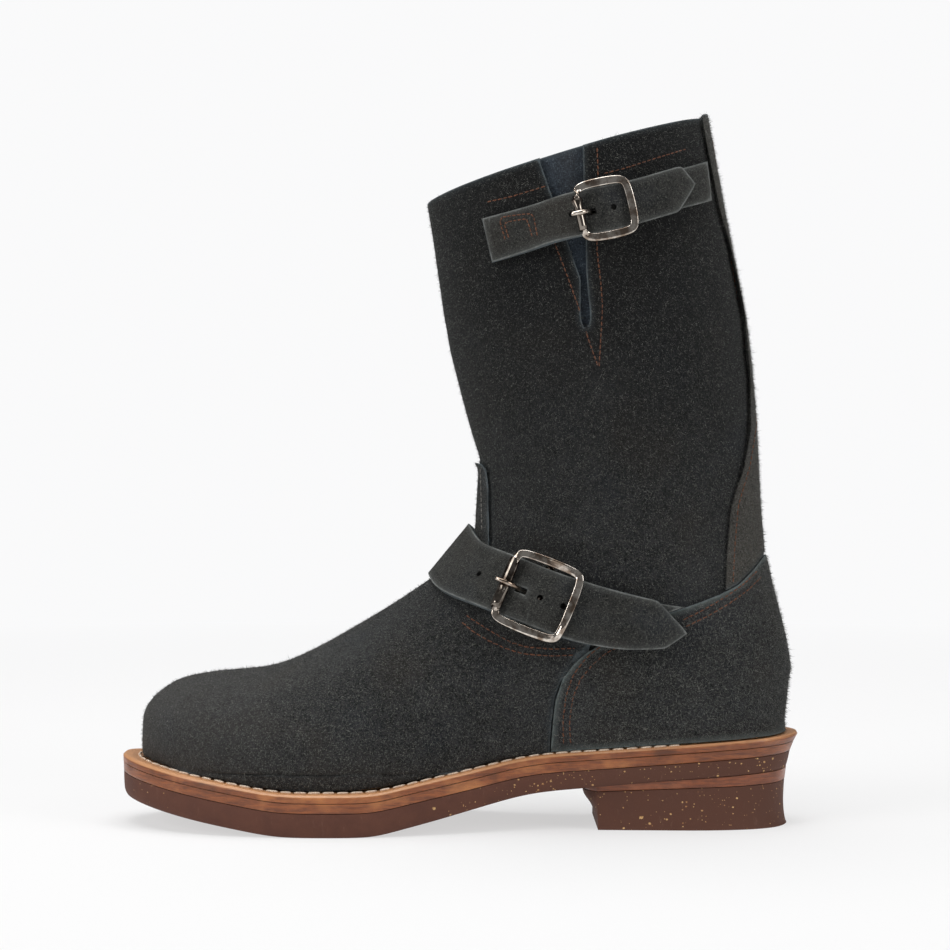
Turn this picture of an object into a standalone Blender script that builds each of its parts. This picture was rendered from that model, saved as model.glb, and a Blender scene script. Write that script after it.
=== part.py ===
"""Engineer boot for the left foot, standing empty on its sole.

Units are metres. +Z is up, the toe points to -X, the outer (lateral) side faces -Y and the inner
(medial) side +Y. The floor is z = 0. Tables hold shares of the named sizes that they follow.
"""

import math

import bmesh
import bpy
import numpy as np
from mathutils import Vector
from mathutils.bvhtree import BVHTree

# Sizes of the whole boot
SOLE_LENGTH = 0.302
BALL_WIDTH = 0.110
TOE_SPRING = 0.0133
HEEL_RISE = 0.0252
INSTEP_RISE = 0.100
SHAFT_HEIGHT = 0.2685
SHAFT_DEPTH = 0.125
SHAFT_WIDTH = 0.103

# Leather and rubber thicknesses
CLEAR = 0.0003
SEAT_GAP = 0.0008
OUTSOLE_THICKNESS = 0.0102
MIDSOLE_THICKNESS = 0.0040
WELT_THICKNESS = 0.0034
INSOLE_THICKNESS = 0.0035
INSOLE_FIT = 0.0014
SHAFT_WALL = 0.0022
TOE_WALL = 0.0011
VAMP_STEP = 0.0018
VAMP_LET_IN = 0.4
COUNTER_THICKNESS = 0.0024
STAY_THICKNESS = 0.0015
GUSSET_THICKNESS = 0.0012

# Straps and buckles
INSTEP_STRAP_WIDTH = 0.0275
INSTEP_STRAP_THICKNESS = 0.0028
TOP_STRAP_WIDTH = 0.0190
TOP_STRAP_THICKNESS = 0.0024
SHORT_STRAP_THICKNESS = 0.0022
SHORT_STRAP_WIDTH_SHARE = 0.88
INSTEP_BUCKLE_LENGTH = 0.0325
INSTEP_BUCKLE_ANGLE = 54.4
TOP_BUCKLE_LENGTH = 0.0255
TOP_BUCKLE_ANGLE = 88.0
WIRE_RADIUS = 0.00125
ROLLER_WALL = 0.0005
LOOP_WALL = 0.0016
PRONG_RADIUS = 0.0011
PRONG_RISE = (0.44, 0.60)
SIDE_GAP = 0.0006
HOLE_RADIUS = 0.0014
HOLE_SPACING = 0.0105
ANKLE_AXIS_AHEAD = 0.089
BUCKLE_REACH = 45.0

# Edges of the sole and the seat of the upper on it
WELT_LEDGE = 0.0076
WELT_BEVEL = 0.0010
WELT_WIDTH = 0.0165
EDGE_ROUND = 0.0016
HEEL_WAIST = 0.0068
HEEL_LENGTH = 0.091
BREAST_LIP = 0.006
SIDE_BULGE = 0.0016

# How far the edge of each layer lies inside the sole's plan, at the heel and before it
TREAD_EDGE = (0.0054, EDGE_ROUND)
OUTSOLE_LOW_EDGE = (0.0048, 0.0004)
OUTSOLE_TOP_EDGE = (0.0036, 0.0003)
MIDSOLE_LOW_EDGE = (0.0034, 0.0003)
MIDSOLE_TOP_EDGE = (0.0018, 0.0001)
WELT_LOW_EDGE = (0.0016, 0.0)
WELT_RIM_EDGE = (0.0003, 0.0)
WELT_TOP_EDGE = (0.0008, WELT_BEVEL)

# The same at the heel lift's lower and upper face, as shares of the heel's waist
LIFT_EDGE = (0.91, 0.81)

# Points nearer than this are one point
MEET = 2e-6

# How finely the curved pieces are divided
SOLE_POINTS = 34
HEEL_POINTS = 14
BREAST_POINTS = 7
SECTION_POINTS = 14
OPEN_STATIONS = 22
RING_STATIONS = 14
VAMP_RINGS = 7
COUNTER_RINGS = 7
GUSSET_RINGS = 7
STAY_RINGS = 12

HEEL_X = SOLE_LENGTH / 2
BREAST_X = HEEL_X - HEEL_LENGTH


def table(columns, *rows):
    """A table as arrays by column name."""
    return {name: np.array([row[i] for row in rows]) for i, name in enumerate(columns.split())}


# Plan of the sole, from the middle of the heel's back round the lateral side to the toe and back
# along the medial side: shares of the sole's length, from the heel, and of the ball's width.
SOLE_PLAN = table(
    "along across",
    (0.000, 0.000), (0.020, -0.190), (0.065, -0.290), (0.140, -0.335), (0.240, -0.328),
    (0.330, -0.318), (0.420, -0.340), (0.520, -0.425), (0.620, -0.495), (0.720, -0.505),
    (0.820, -0.462), (0.900, -0.370), (0.960, -0.235), (0.992, -0.090), (1.000, 0.055),
    (0.990, 0.180), (0.955, 0.300), (0.890, 0.405), (0.800, 0.475), (0.700, 0.495),
    (0.600, 0.445), (0.500, 0.350), (0.410, 0.283), (0.320, 0.265), (0.230, 0.292),
    (0.140, 0.330), (0.065, 0.290), (0.020, 0.190),
)

# Side profile of the sole: underside as shares of toe spring and heel rise, and the outsole's
# thickness as a share of its thickness at the ball.
SOLE_PROFILE = table(
    "along spring rise thickness",
    (0.00, 0.00, 1.010, 0.70),
    (0.10, 0.00, 0.940, 0.69),
    (0.20, 0.00, 0.860, 0.69),
    (0.30, 0.00, 0.755, 0.74),
    (0.39, 0.00, 0.665, 0.78),
    (0.47, 0.00, 0.450, 0.84),
    (0.52, 0.00, 0.295, 0.92),
    (0.58, 0.00, 0.125, 0.98),
    (0.63, 0.00, 0.000, 1.00),
    (0.74, 0.00, 0.000, 1.00),
    (0.83, 0.27, 0.000, 1.00),
    (0.93, 0.66, 0.000, 0.98),
    (1.00, 1.00, 0.000, 0.94),
)

# Underside of the heel lift as a share of the heel rise.
LIFT_PROFILE = table("along rise", (0.00, 0.79), (0.18, 0.72), (0.30, 0.66), (0.40, 0.60))

# Ledge of the welt that shows outside the upper, as shares of the ledge round the forefoot.
LEDGE = table(
    "along lateral medial",
    (0.00, 0.72, 0.72),
    (0.04, 0.62, 0.62),
    (0.10, 0.46, 0.46),
    (0.25, 0.50, 0.48),
    (0.40, 0.74, 0.52),
    (0.55, 0.95, 0.80),
    (0.75, 1.00, 1.00),
    (0.92, 1.04, 1.04),
    (1.00, 1.10, 1.10),
)

# Sections of the foot, toe to heel, each in a plane through a point of the top ridge and one of
# the sole: ridge as shares of the sole's length and the instep's rise over the welt, seat as a
# share of the feather edge from toe to heel, swing towards the toe's tip, half widths as shares
# of the ball's width, place of the widest line, and fullness above and below it.
FOOT = table(
    "ridge up seat swing lateral medial widest over under",
    (0.966, 0.155, 0.000, 1.00, 0.080, 0.080, 0.72, 2.2, 2.0),
    (0.960, 0.215, 0.006, 1.00, 0.150, 0.150, 0.72, 2.2, 2.0),
    (0.946, 0.275, 0.021, 0.98, 0.230, 0.230, 0.74, 2.3, 2.0),
    (0.916, 0.358, 0.053, 0.92, 0.300, 0.300, 0.76, 2.3, 2.0),
    (0.858, 0.416, 0.115, 0.80, 0.380, 0.380, 0.78, 2.3, 2.0),
    (0.782, 0.471, 0.200, 0.60, 0.420, 0.420, 0.78, 2.3, 2.0),
    (0.719, 0.556, 0.278, 0.42, 0.432, 0.420, 0.76, 2.2, 2.0),
    (0.646, 0.684, 0.369, 0.25, 0.425, 0.395, 0.68, 2.0, 2.0),
    (0.573, 0.785, 0.479, 0.10, 0.385, 0.355, 0.58, 1.9, 2.0),
    (0.517, 0.868, 0.602, 0.00, 0.358, 0.342, 0.50, 1.9, 2.1),
    (0.487, 0.942, 0.736, 0.00, 0.350, 0.345, 0.47, 1.9, 2.2),
    (0.474, 1.024, 0.860, 0.00, 0.348, 0.346, 0.44, 1.9, 2.3),
    (0.473, 1.095, 0.935, 0.00, 0.350, 0.350, 0.43, 1.9, 2.3),
    (0.473, 1.135, 0.975, 0.00, 0.352, 0.352, 0.42, 1.9, 2.4),
    (0.473, 1.160, 0.993, 0.00, 0.354, 0.354, 0.42, 1.9, 2.4),
    (0.473, 1.185, 1.000, 0.00, 0.356, 0.356, 0.42, 1.9, 2.4),
)

# Rings of the shaft, heel to collar: front and back as distances ahead of the heel's back, in
# shares of the shaft's depth, and heights over the heel's seat in shares of the shaft's height;
# half widths as shares of the shaft's width.
SHAFT = table(
    "front front_up back back_up lateral medial widest over under",
    (1.141, 0.419, 0.038, 0.056, 0.384, 0.384, 0.43, 1.9, 2.4),
    (1.141, 0.438, 0.048, 0.127, 0.390, 0.390, 0.44, 1.9, 2.3),
    (1.149, 0.457, 0.097, 0.215, 0.400, 0.400, 0.45, 2.0, 2.2),
    (1.168, 0.485, 0.137, 0.300, 0.412, 0.412, 0.46, 2.0, 2.1),
    (1.204, 0.544, 0.149, 0.410, 0.434, 0.434, 0.47, 2.0, 2.1),
    (1.246, 0.626, 0.164, 0.537, 0.460, 0.460, 0.48, 2.0, 2.1),
    (1.280, 0.716, 0.200, 0.686, 0.480, 0.480, 0.48, 2.0, 2.1),
    (1.307, 0.801, 0.260, 0.820, 0.494, 0.494, 0.49, 2.0, 2.1),
    (1.331, 0.870, 0.333, 1.009, 0.500, 0.500, 0.50, 2.0, 2.1),
)


# Levels of the heel block from the floor up: inset as a share of the heel's waist, the breast's lip
# as a share of the full lip, and height as a share of the block's.
HEEL_LEVELS = table(
    "waist lip up",
    (0.79, 0.00, 0.00), (0.88, 0.00, 0.05), (1.00, 0.10, 0.35), (1.00, 0.45, 0.62),
    (0.96, 0.95, 0.82), (0.93, 1.00, 1.00),
)

# Side-view edge of the heel counter, from the welt up its front and back along its top: distance
# ahead of the heel's back as a share of the sole's length, height over the welt as a share of the
# instep's rise.
COUNTER_EDGE = table(
    "ahead up",
    (0.369, -0.080), (0.369, 0.030), (0.366, 0.150), (0.363, 0.235), (0.353, 0.327),
    (0.335, 0.397), (0.318, 0.436), (0.285, 0.485), (0.242, 0.537), (0.199, 0.583),
    (0.165, 0.609), (0.127, 0.643), (0.099, 0.680), (0.076, 0.735), (0.054, 0.794),
    (0.040, 0.808), (-0.060, 0.815),
)

# Side-view edge of the vamp, from the top of its tongue down to the counter, in the same shares.
VAMP_EDGE = table(
    "ahead up",
    (0.660, 1.325), (0.478, 1.323), (0.4685, 1.310), (0.462, 1.280), (0.459, 1.200),
    (0.458, 0.940), (0.462, 0.760), (0.454, 0.660), (0.428, 0.597), (0.394, 0.560),
    (0.358, 0.526), (0.330, 0.470),
)

# Side-view edge of the back stay, collar to counter: distance ahead of the heel's back as a share
# of the shaft's depth, height over the heel's seat as a share of the shaft's height.
STAY_EDGE = table(
    "ahead up",
    (0.352, 1.080), (0.356, 0.990), (0.289, 0.840), (0.262, 0.810), (0.205, 0.692),
    (0.185, 0.580), (0.185, 0.495), (0.214, 0.433), (0.263, 0.366), (0.278, 0.299),
    (0.286, 0.180),
)

# Side-view outline of the slit at the top of the lateral side, in the back stay's shares.
SLIT_EDGE = table(
    "ahead up",
    (0.960, 1.060), (0.934, 0.916), (0.895, 0.864), (0.840, 0.791), (0.794, 0.731),
    (0.795, 0.668), (0.784, 0.655), (0.768, 0.657), (0.760, 0.670), (0.776, 0.735),
    (0.785, 0.890), (0.788, 0.932), (0.790, 1.060),
)
GUSSET_EDGE = table(
    "ahead up", (1.000, 1.060), (0.985, 0.880), (0.850, 0.640), (0.700, 0.640), (0.690, 1.060)
)


# Course of the instep strap round the ankle, medial side to lateral side: angle from the front in
# degrees, height of its middle over the heel's seat as a share of the instep's rise, upright share
# of its width, and lift over the buckle's bar and over the short strap.
INSTEP_COURSE = table(
    "angle middle width bar short",
    (-126.0, 0.410, 0.96, 0.00, 0.0),
    (-90.0, 0.500, 0.97, 0.00, 0.0),
    (-60.0, 0.565, 0.96, 0.00, 0.0),
    (-40.0, 0.625, 0.90, 0.00, 0.0),
    (-20.0, 0.712, 0.80, 0.00, 0.0),
    (0.0, 0.790, 0.80, 0.00, 0.0),
    (19.0, 0.717, 0.78, 0.04, 0.0),
    (28.0, 0.680, 0.80, 0.34, 0.0),
    (35.0, 0.652, 0.84, 0.70, 0.0),
    (45.0, 0.617, 0.90, 0.93, 0.0),
    (54.4, 0.588, 0.94, 1.00, 0.0),
    (64.0, 0.562, 0.98, 0.93, 0.2),
    (74.0, 0.543, 0.98, 0.72, 0.7),
    (88.0, 0.522, 0.94, 0.30, 1.0),
    (104.0, 0.500, 0.87, 0.00, 1.0),
    (118.0, 0.487, 0.75, 0.00, 1.0),
    (136.0, 0.475, 0.62, 0.00, 1.0),
)

# Course of the top strap on the lateral side, its middle's height as a share of the shaft's height.
TOP_COURSE = table(
    "angle middle width bar short",
    (34.0, 0.791, 1.02, 0.00, 0.0),
    (56.0, 0.809, 1.02, 0.00, 0.0),
    (66.0, 0.818, 1.02, 0.20, 0.0),
    (75.0, 0.826, 1.02, 0.72, 0.0),
    (88.0, 0.837, 1.02, 1.00, 0.0),
    (101.0, 0.850, 1.02, 0.72, 0.7),
    (112.0, 0.861, 1.02, 0.25, 1.0),
    (126.0, 0.875, 1.02, 0.00, 1.0),
    (150.0, 0.896, 1.02, 0.00, 1.0),
)

# Side-view outlines that the ends of the straps are cut to, as shares of the sole's length ahead
# of the heel's back and of the shaft's height over the heel's seat.
INSTEP_TIP = table(
    "ahead up",
    (0.224, 0.226), (0.200, 0.196), (0.184, 0.177), (0.1785, 0.168), (0.186, 0.161),
    (0.204, 0.148), (0.226, 0.132), (0.226, 0.050), (0.000, 0.050), (0.000, 0.300),
    (0.224, 0.300),
)
TOP_TIP = table(
    "ahead up",
    (0.195, 0.925), (0.172, 0.897), (0.164, 0.887), (0.168, 0.878), (0.190, 0.838),
    (0.190, 0.760), (0.000, 0.760), (0.000, 1.000), (0.195, 1.000),
)
TOP_FRONT_END = table(
    "ahead up", (0.4685, 0.840), (0.4680, 0.829), (0.4530, 0.755), (0.4510, 0.740),
    (0.7000, 0.740), (0.7000, 0.840),
)


def smooth_step(low, high, value):
    t = np.clip((value - low) / (high - low), 0, 1)
    return t * t * (3 - 2 * t)


def smooth_curve(x, y, at):
    """Cubic through the points that never overshoots between them."""
    at = np.asarray(at, float)
    span = np.diff(x)
    slope = np.diff(y) / span
    tangent = np.concatenate([slope[:1], np.zeros(len(x) - 2), slope[-1:]])
    for i in range(1, len(x) - 1):
        if slope[i - 1] * slope[i] > 0:
            before, after = 2 * span[i] + span[i - 1], span[i] + 2 * span[i - 1]
            tangent[i] = (before + after) / (before / slope[i - 1] + after / slope[i])
    i = np.clip(np.searchsorted(x, at) - 1, 0, len(span) - 1)
    t = (at - x[i]) / span[i]
    return (
        y[i] * (1 + 2 * t) * (1 - t) ** 2
        + tangent[i] * span[i] * t * (1 - t) ** 2
        + y[i + 1] * t * t * (3 - 2 * t)
        + tangent[i + 1] * span[i] * t * t * (t - 1)
    )


def even(points, count):
    """The polyline's points, spaced evenly along it."""
    points = np.asarray(points, float)
    run = np.concatenate([[0], np.cumsum(np.linalg.norm(np.diff(points, axis=0), axis=1))])
    at = np.linspace(0, run[-1], count)
    return np.stack([np.interp(at, run, column) for column in points.T], axis=1)


def rounded_loop(points, per_span):
    """Closed smooth curve through the points, with per_span steps between neighbours."""
    around = [np.roll(points, shift, axis=0) for shift in (1, 0, -1, -2)]
    t = (np.arange(per_span) / per_span)[None, :, None]
    before, start, end, after = (p[:, None, :] for p in around)
    curve = 0.5 * (
        2 * start
        + (end - before) * t
        + (2 * before - 5 * start + 4 * end - after) * t**2
        + (3 * start - before - 3 * end + after) * t**3
    )
    return curve.reshape(-1, 2)


def sole_sides():
    """Lateral and medial edge of the sole's plan, each from the heel's back to the toe's tip."""
    points = np.stack(
        [HEEL_X - SOLE_PLAN["along"] * SOLE_LENGTH, SOLE_PLAN["across"] * BALL_WIDTH], axis=1
    )
    per_span = 10
    loop = rounded_loop(points, per_span)
    tip = int(np.argmin(loop[:, 0]))
    loop = np.concatenate([loop, loop[:1]])
    return loop[: tip + 1], loop[tip:][::-1]


def inward(side, sign, inset):
    """The edge moved into the sole by the inset, one value or one for each point."""
    run = np.gradient(side, axis=0)
    run[0] = (0, run[0, 1]) if abs(run[0, 1]) > 0 else run[0]
    run[-1] = (0, run[-1, 1])
    run /= np.linalg.norm(run, axis=1, keepdims=True)
    normal = np.stack([-run[:, 1], run[:, 0]], axis=1) * sign
    return side + normal * np.reshape(inset, (-1, 1))


SIDES = sole_sides()
SIGNS = (-1, 1)


def along_of(x):
    return (HEEL_X - x) / SOLE_LENGTH


def underside(x):
    along = along_of(x)
    spring = smooth_curve(SOLE_PROFILE["along"], SOLE_PROFILE["spring"], along)
    rise = smooth_curve(SOLE_PROFILE["along"], SOLE_PROFILE["rise"], along)
    return spring * TOE_SPRING + rise * HEEL_RISE


def outsole_top(x):
    share = smooth_curve(SOLE_PROFILE["along"], SOLE_PROFILE["thickness"], along_of(x))
    return underside(x) + share * OUTSOLE_THICKNESS


def midsole_top(x):
    return outsole_top(x) + CLEAR + MIDSOLE_THICKNESS


def welt_top(x):
    return midsole_top(x) + CLEAR + WELT_THICKNESS


def lift_underside(x):
    share = smooth_curve(LIFT_PROFILE["along"], LIFT_PROFILE["rise"], along_of(x))
    return share * HEEL_RISE


def plan_ring(at_heel, at_fore):
    """Plan of the sole inset by one value at the heel and another before it, as one closed ring."""
    halves = []
    for side, sign in zip(SIDES, SIGNS):
        heel = 1 - smooth_step(0.08, 0.42, along_of(side[:, 0]))
        moved = inward(side, sign, at_fore + (at_heel - at_fore) * heel)
        halves.append(even(moved, SOLE_POINTS + 1))
    return np.concatenate([halves[0], halves[1][-2:0:-1]])


def outward(bm):
    """Turn every face outwards."""
    bm.normal_update()
    bmesh.ops.recalc_face_normals(bm, faces=bm.faces)


def new_object(name, bm):
    mesh = bpy.data.meshes.new(name)
    bm.to_mesh(mesh)
    bm.free()
    thing = bpy.data.objects.new(name, mesh)
    bpy.context.scene.collection.objects.link(thing)
    return thing


def bridge(bm, one, other, split=False):
    """Faces between two rows of as many vertices; split cuts each along the same diagonal."""
    for a, b, c, d in zip(one[:-1], one[1:], other[1:], other[:-1]):
        for corners in ((a, b, c), (a, c, d)) if split else ((a, b, c, d),):
            bm.faces.new(corners)


def cap(bm, ring):
    """Cross strips over a ring whose first vertex is the heel's back and its middle the toe's tip."""
    count = len(ring)
    for i in range(count // 2):
        corners = [ring[i], ring[i + 1], ring[count - i - 1], ring[-i]]
        corners = [corner for k, corner in enumerate(corners) if corner not in corners[:k]]
        bm.faces.new(corners)


def closed_up(bm):
    bmesh.ops.remove_doubles(bm, verts=bm.verts, dist=MEET)
    bmesh.ops.dissolve_degenerate(bm, edges=bm.edges, dist=MEET / 2)
    outward(bm)


def plate(name, levels):
    """Closed plate on the sole's plan. Each level is the inset at the heel, before it and a height."""
    bm = bmesh.new()
    rings = []
    for at_heel, at_fore, height in levels:
        plan = plan_ring(at_heel, at_fore)
        rings.append([bm.verts.new((x, y, height(x))) for x, y in plan])
    for low, high in zip(rings[:-1], rings[1:]):
        bridge(bm, low + low[:1], high + high[:1])
    cap(bm, rings[0])
    cap(bm, rings[-1])
    closed_up(bm)
    return new_object(name, bm)


def hoop(name, levels):
    """Closed strip round the sole's edge: the levels run round its section."""
    bm = bmesh.new()
    rings = []
    for at_heel, at_fore, height in levels:
        plan = plan_ring(at_heel, at_fore)
        rings.append([bm.verts.new((x, y, height(x))) for x, y in plan])
    for low, high in zip(rings, rings[1:] + rings[:1]):
        bridge(bm, low + low[:1], high + high[:1])
    closed_up(bm)
    return new_object(name, bm)


def heel_ring(inset, lip):
    """Plan of the heel: its round back from lateral to medial corner, then the breast's edge."""
    halves = []
    for side, sign in zip(SIDES, SIGNS):
        moved = inward(side, sign, inset)
        kept = [point for point in moved if point[0] > BREAST_X]
        after = moved[len(kept)]
        share = (kept[-1][0] - BREAST_X) / (kept[-1][0] - after[0])
        kept.append(kept[-1] + share * (after - kept[-1]))
        halves.append(even(kept, HEEL_POINTS + 1))
    lateral, medial = halves
    back = np.concatenate([lateral[::-1], medial[1:]])
    t = np.linspace(0, 1, BREAST_POINTS + 2)[1:-1]
    y = medial[-1, 1] + (lateral[-1, 1] - medial[-1, 1]) * t
    x = BREAST_X - lip * np.sin(math.pi * (1 - t) ** 0.75)
    return np.concatenate([back, np.stack([x, y], axis=1)])


def heel_piece(name, levels):
    """Closed piece on the heel's plan. Each level is an inset, the breast's lip and a height."""
    bm = bmesh.new()
    rings = []
    for inset, lip, height in levels:
        rings.append([bm.verts.new((x, y, height(x))) for x, y in heel_ring(inset, lip)])
    for low, high in zip(rings[:-1], rings[1:]):
        bridge(bm, low + low[:1], high + high[:1])
    for ring in (rings[0], rings[-1]):
        for i in range(1, HEEL_POINTS + 1):
            near, far = HEEL_POINTS - i, HEEL_POINTS + i
            corners = [ring[near], ring[near + 1], ring[far - 1], ring[far]]
            bm.faces.new(corners[:2] + corners[3:] if i == 1 else corners)
        bm.faces.new(ring[2 * HEEL_POINTS :] + ring[:1])
    closed_up(bm)
    return new_object(name, bm)


def feather_sides():
    """Where the upper's outer face meets the welt, from the heel's back to the toe's tip."""
    moved = []
    for side, sign, name in zip(SIDES, SIGNS, ("lateral", "medial")):
        along = along_of(side[:, 0])
        ledge = WELT_LEDGE * smooth_curve(LEDGE["along"], LEDGE[name], along)
        counter = 1 - smooth_step(0.30, 0.42, along)
        overlay = VAMP_STEP + (COUNTER_THICKNESS + CLEAR - VAMP_STEP) * counter
        moved.append(inward(side, sign, ledge + overlay))
    return moved


FEATHER = feather_sides()


def feather_at(x, sign):
    """The lateral (-1) or medial (1) feather edge's y at x."""
    side = FEATHER[SIGNS.index(sign)]
    return np.interp(-np.asarray(x), -side[:, 0], side[:, 1])


def half_section(half, foot, form, length):
    """Side of one section as (run, half width), ridge to end; foot gives the seat's half width by run."""
    angle = np.linspace(0, math.pi / 2, 40)
    widest, over, under = form["widest"], form["over"], form["under"]
    front_run = widest * (1 - np.cos(angle))
    front = half * (1 - ((widest - front_run) / widest) ** over) ** (1 / over)
    share = np.sin(angle)
    back_run = widest + (1 - widest) * share
    if foot is None:
        back = half * (1 - share**under) ** (1 / under)
    else:
        back = half + (foot(back_run * length) - half) * smooth_step(0, 1, share)
    run = np.concatenate([front_run, back_run[1:]]) * length
    width = np.concatenate([front, back[1:]])
    return even(np.stack([run, width], axis=1), SECTION_POINTS + 1)


# Step from the foot's last section to the shaft's first ring, in the shares of the shaft's table,
# and the ring by which the shaft no longer follows the foot.
SHAFT_START = {"front": -0.0018, "front_up": 0.0267, "lateral": 0.0038, "medial": 0.0038}
SHAFT_FOLLOWS = 6.0


def stations():
    """Sections from toe to collar: ridge point, end point, middle line, half widths and form."""
    last = len(FOOT["up"]) - 1
    rows = np.arange(last + 1)
    tip, back = FEATHER[0][-1], FEATHER[0][0]
    found = []
    for at in np.linspace(0, last, OPEN_STATIONS):
        row = {name: float(smooth_curve(rows, column, at)) for name, column in FOOT.items()}
        end_x = tip[0] + (back[0] - tip[0]) * row["seat"]
        middle = row["swing"] * tip[1]
        ridge_x = HEEL_X - row["ridge"] * SOLE_LENGTH
        ridge_x = ridge_x + (end_x - ridge_x) * (1 - smooth_step(0.0, 4.0, at))
        ridge = (ridge_x, float(welt_top(ridge_x)) + row["up"] * INSTEP_RISE)
        end = (end_x, float(welt_top(end_x)) + SEAT_GAP)
        fitted = float(smooth_step(5.0, 9.0, at))
        halves = []
        for sign, name in zip(SIGNS, ("lateral", "medial")):
            foot = max(0.0, sign * (float(feather_at(end_x, sign)) - middle))
            bulged = foot + SIDE_BULGE * min(1.0, at)
            halves.append(bulged + (row[name] * BALL_WIDTH - bulged) * fitted)
        found.append((ridge, end, middle, halves, True, row))
    top = {name: np.concatenate([[0], column]) for name, column in SHAFT.items()}
    ridge, end, _, halves, _, row = found[-1]
    seat_z = end[1]
    joined = {
        "front": (HEEL_X - ridge[0]) / SHAFT_DEPTH,
        "front_up": (ridge[1] - seat_z) / SHAFT_HEIGHT,
        "back": (HEEL_X - end[0]) / SHAFT_DEPTH,
        "back_up": 0,
        "lateral": halves[0] / SHAFT_WIDTH,
        "medial": halves[1] / SHAFT_WIDTH,
        "widest": row["widest"],
        "over": row["over"],
        "under": row["under"],
    }
    fade = 1 - smooth_step(1.0, SHAFT_FOLLOWS, np.arange(len(top["front"])))
    for name, value in joined.items():
        top[name][0] = value
        if name in SHAFT_START:
            moved = value + SHAFT_START[name] - top[name][1]
            top[name][1:] += moved * fade[1:]
    rows = np.arange(len(top["front"]))
    for at in np.linspace(0, rows[-1], RING_STATIONS + 1)[1:]:
        row = {name: float(smooth_curve(rows, column, at)) for name, column in top.items()}
        ridge = (HEEL_X - row["front"] * SHAFT_DEPTH, seat_z + row["front_up"] * SHAFT_HEIGHT)
        end = (HEEL_X - row["back"] * SHAFT_DEPTH, seat_z + row["back_up"] * SHAFT_HEIGHT)
        halves = [row["lateral"] * SHAFT_WIDTH, row["medial"] * SHAFT_WIDTH]
        found.append((ridge, end, 0.0, halves, False, row))
    return found


def surface_grid():
    """Outer face of the bare upper: a row of points for each station, lateral end to medial end."""
    grid = []
    for ridge, end, middle, halves, seated, row in stations():
        ridge, end = np.array(ridge), np.array(end)
        length = np.linalg.norm(end - ridge)
        down = (end - ridge) / length
        line = []
        for sign, half in zip(SIGNS, halves):

            def foot(run, sign=sign):
                return np.maximum(0, sign * (feather_at(ridge[0] + run * down[0], sign) - middle))

            side = half_section(max(half, 1e-7), foot if seated else None, row, length)
            spots = ridge + side[:, :1] * down
            points = np.stack([spots[:, 0], middle + sign * side[:, 1], spots[:, 1]], axis=1)
            line.append(points)
        grid.append(np.concatenate([line[0][::-1], line[1][1:]]))
    grid = np.array(grid)
    grid[0, :, 1] = grid[0, SECTION_POINTS, 1]
    return grid


def grid_normals(grid):
    """Unit normals out of the boot, shared where points coincide and level along the seat."""
    rows, columns = grid.shape[:2]
    flat = np.round(grid.reshape(-1, 3), 6)
    _, same = np.unique(flat, axis=0, return_inverse=True)
    same = same.reshape(rows, columns)
    total = np.zeros((same.max() + 1, 3))
    across = grid[:-1, 1:] - grid[1:, :-1]
    other = grid[1:, 1:] - grid[:-1, :-1]
    face = np.cross(across, other)
    for part in (same[:-1, :-1], same[1:, :-1], same[:-1, 1:], same[1:, 1:]):
        np.add.at(total, part.reshape(-1), face.reshape(-1, 3))
    total /= np.maximum(np.linalg.norm(total, axis=1, keepdims=True), 1e-12)
    normals = total[same]
    seated = normals[:OPEN_STATIONS, (0, -1)] * (1, 1, 0)
    normals[:OPEN_STATIONS, (0, -1)] = seated / np.linalg.norm(seated, axis=2, keepdims=True)
    centre = grid.reshape(-1, 3).mean(axis=0)
    outward = ((grid - centre) * normals).sum() > 0
    return normals if outward else -normals


GRID = surface_grid()
NORMALS = grid_normals(GRID)
CLOSED_ROW = OPEN_STATIONS - 1


def shell(offset, rows=slice(None)):
    """The upper's outer face moved outwards by the offset, its lower edge kept just over the welt."""
    offset = np.broadcast_to(np.asarray(offset, float), (len(GRID),))
    moved = GRID + NORMALS * offset[:, None, None]
    for row in range(CLOSED_ROW + 1):
        for column in (0, -1):
            moved[row, column, 2] = float(welt_top(moved[row, column, 0])) + SEAT_GAP
    return moved[rows]


def wall_offset():
    """Inner face of the wall: thin in the foot, where the vamp adds to it, full in the shaft."""
    stage = np.arange(len(GRID))
    share = smooth_step(0.45 * CLOSED_ROW, 1.1 * CLOSED_ROW, stage)
    return -(TOE_WALL + (SHAFT_WALL - TOE_WALL) * share)


def between(name, outer, inner):
    """Closed solid between two grids of as many points.

    A folded first row, and ends that meet, get no rim.
    """
    bm = bmesh.new()
    out, into = [
        [[bm.verts.new(point) for point in line] for line in grid] for grid in (outer, inner)
    ]
    for rows in (out, into):
        for row, (one, other) in enumerate(zip(rows[:-1], rows[1:])):
            middle = len(one) // 2
            bridge(bm, one[: middle + 1], other[: middle + 1], split=row > 0)
            bridge(bm, one[: middle - 1 : -1], other[: middle - 1 : -1], split=row > 0)
    if np.linalg.norm(outer[0, 0] - outer[0, -1]) > MEET or np.ptp(outer[0, :, 1]) > MEET:
        bridge(bm, out[0], into[0])
    bridge(bm, out[-1], into[-1])
    apart = np.linalg.norm(outer[:, 0] - outer[:, -1], axis=1) > MEET
    for row in range(len(outer) - 1):
        if apart[row] or apart[row + 1]:
            for column in (0, -1):
                ends = [out[row][column], out[row + 1][column]]
                bridge(bm, ends, [into[row][column], into[row + 1][column]])
    closed_up(bm)
    return new_object(name, bm)


def prism(name, outline, low, high):
    """Solid of a side-view outline, points (x, z), from y = low to y = high."""
    bm = bmesh.new()
    near = [bm.verts.new((x, low, z)) for x, z in outline]
    far = [bm.verts.new((x, high, z)) for x, z in outline]
    bm.faces.new(near)
    bm.faces.new(far)
    bridge(bm, near + near[:1], far + far[:1])
    outward(bm)
    return new_object(name, bm)


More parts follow.
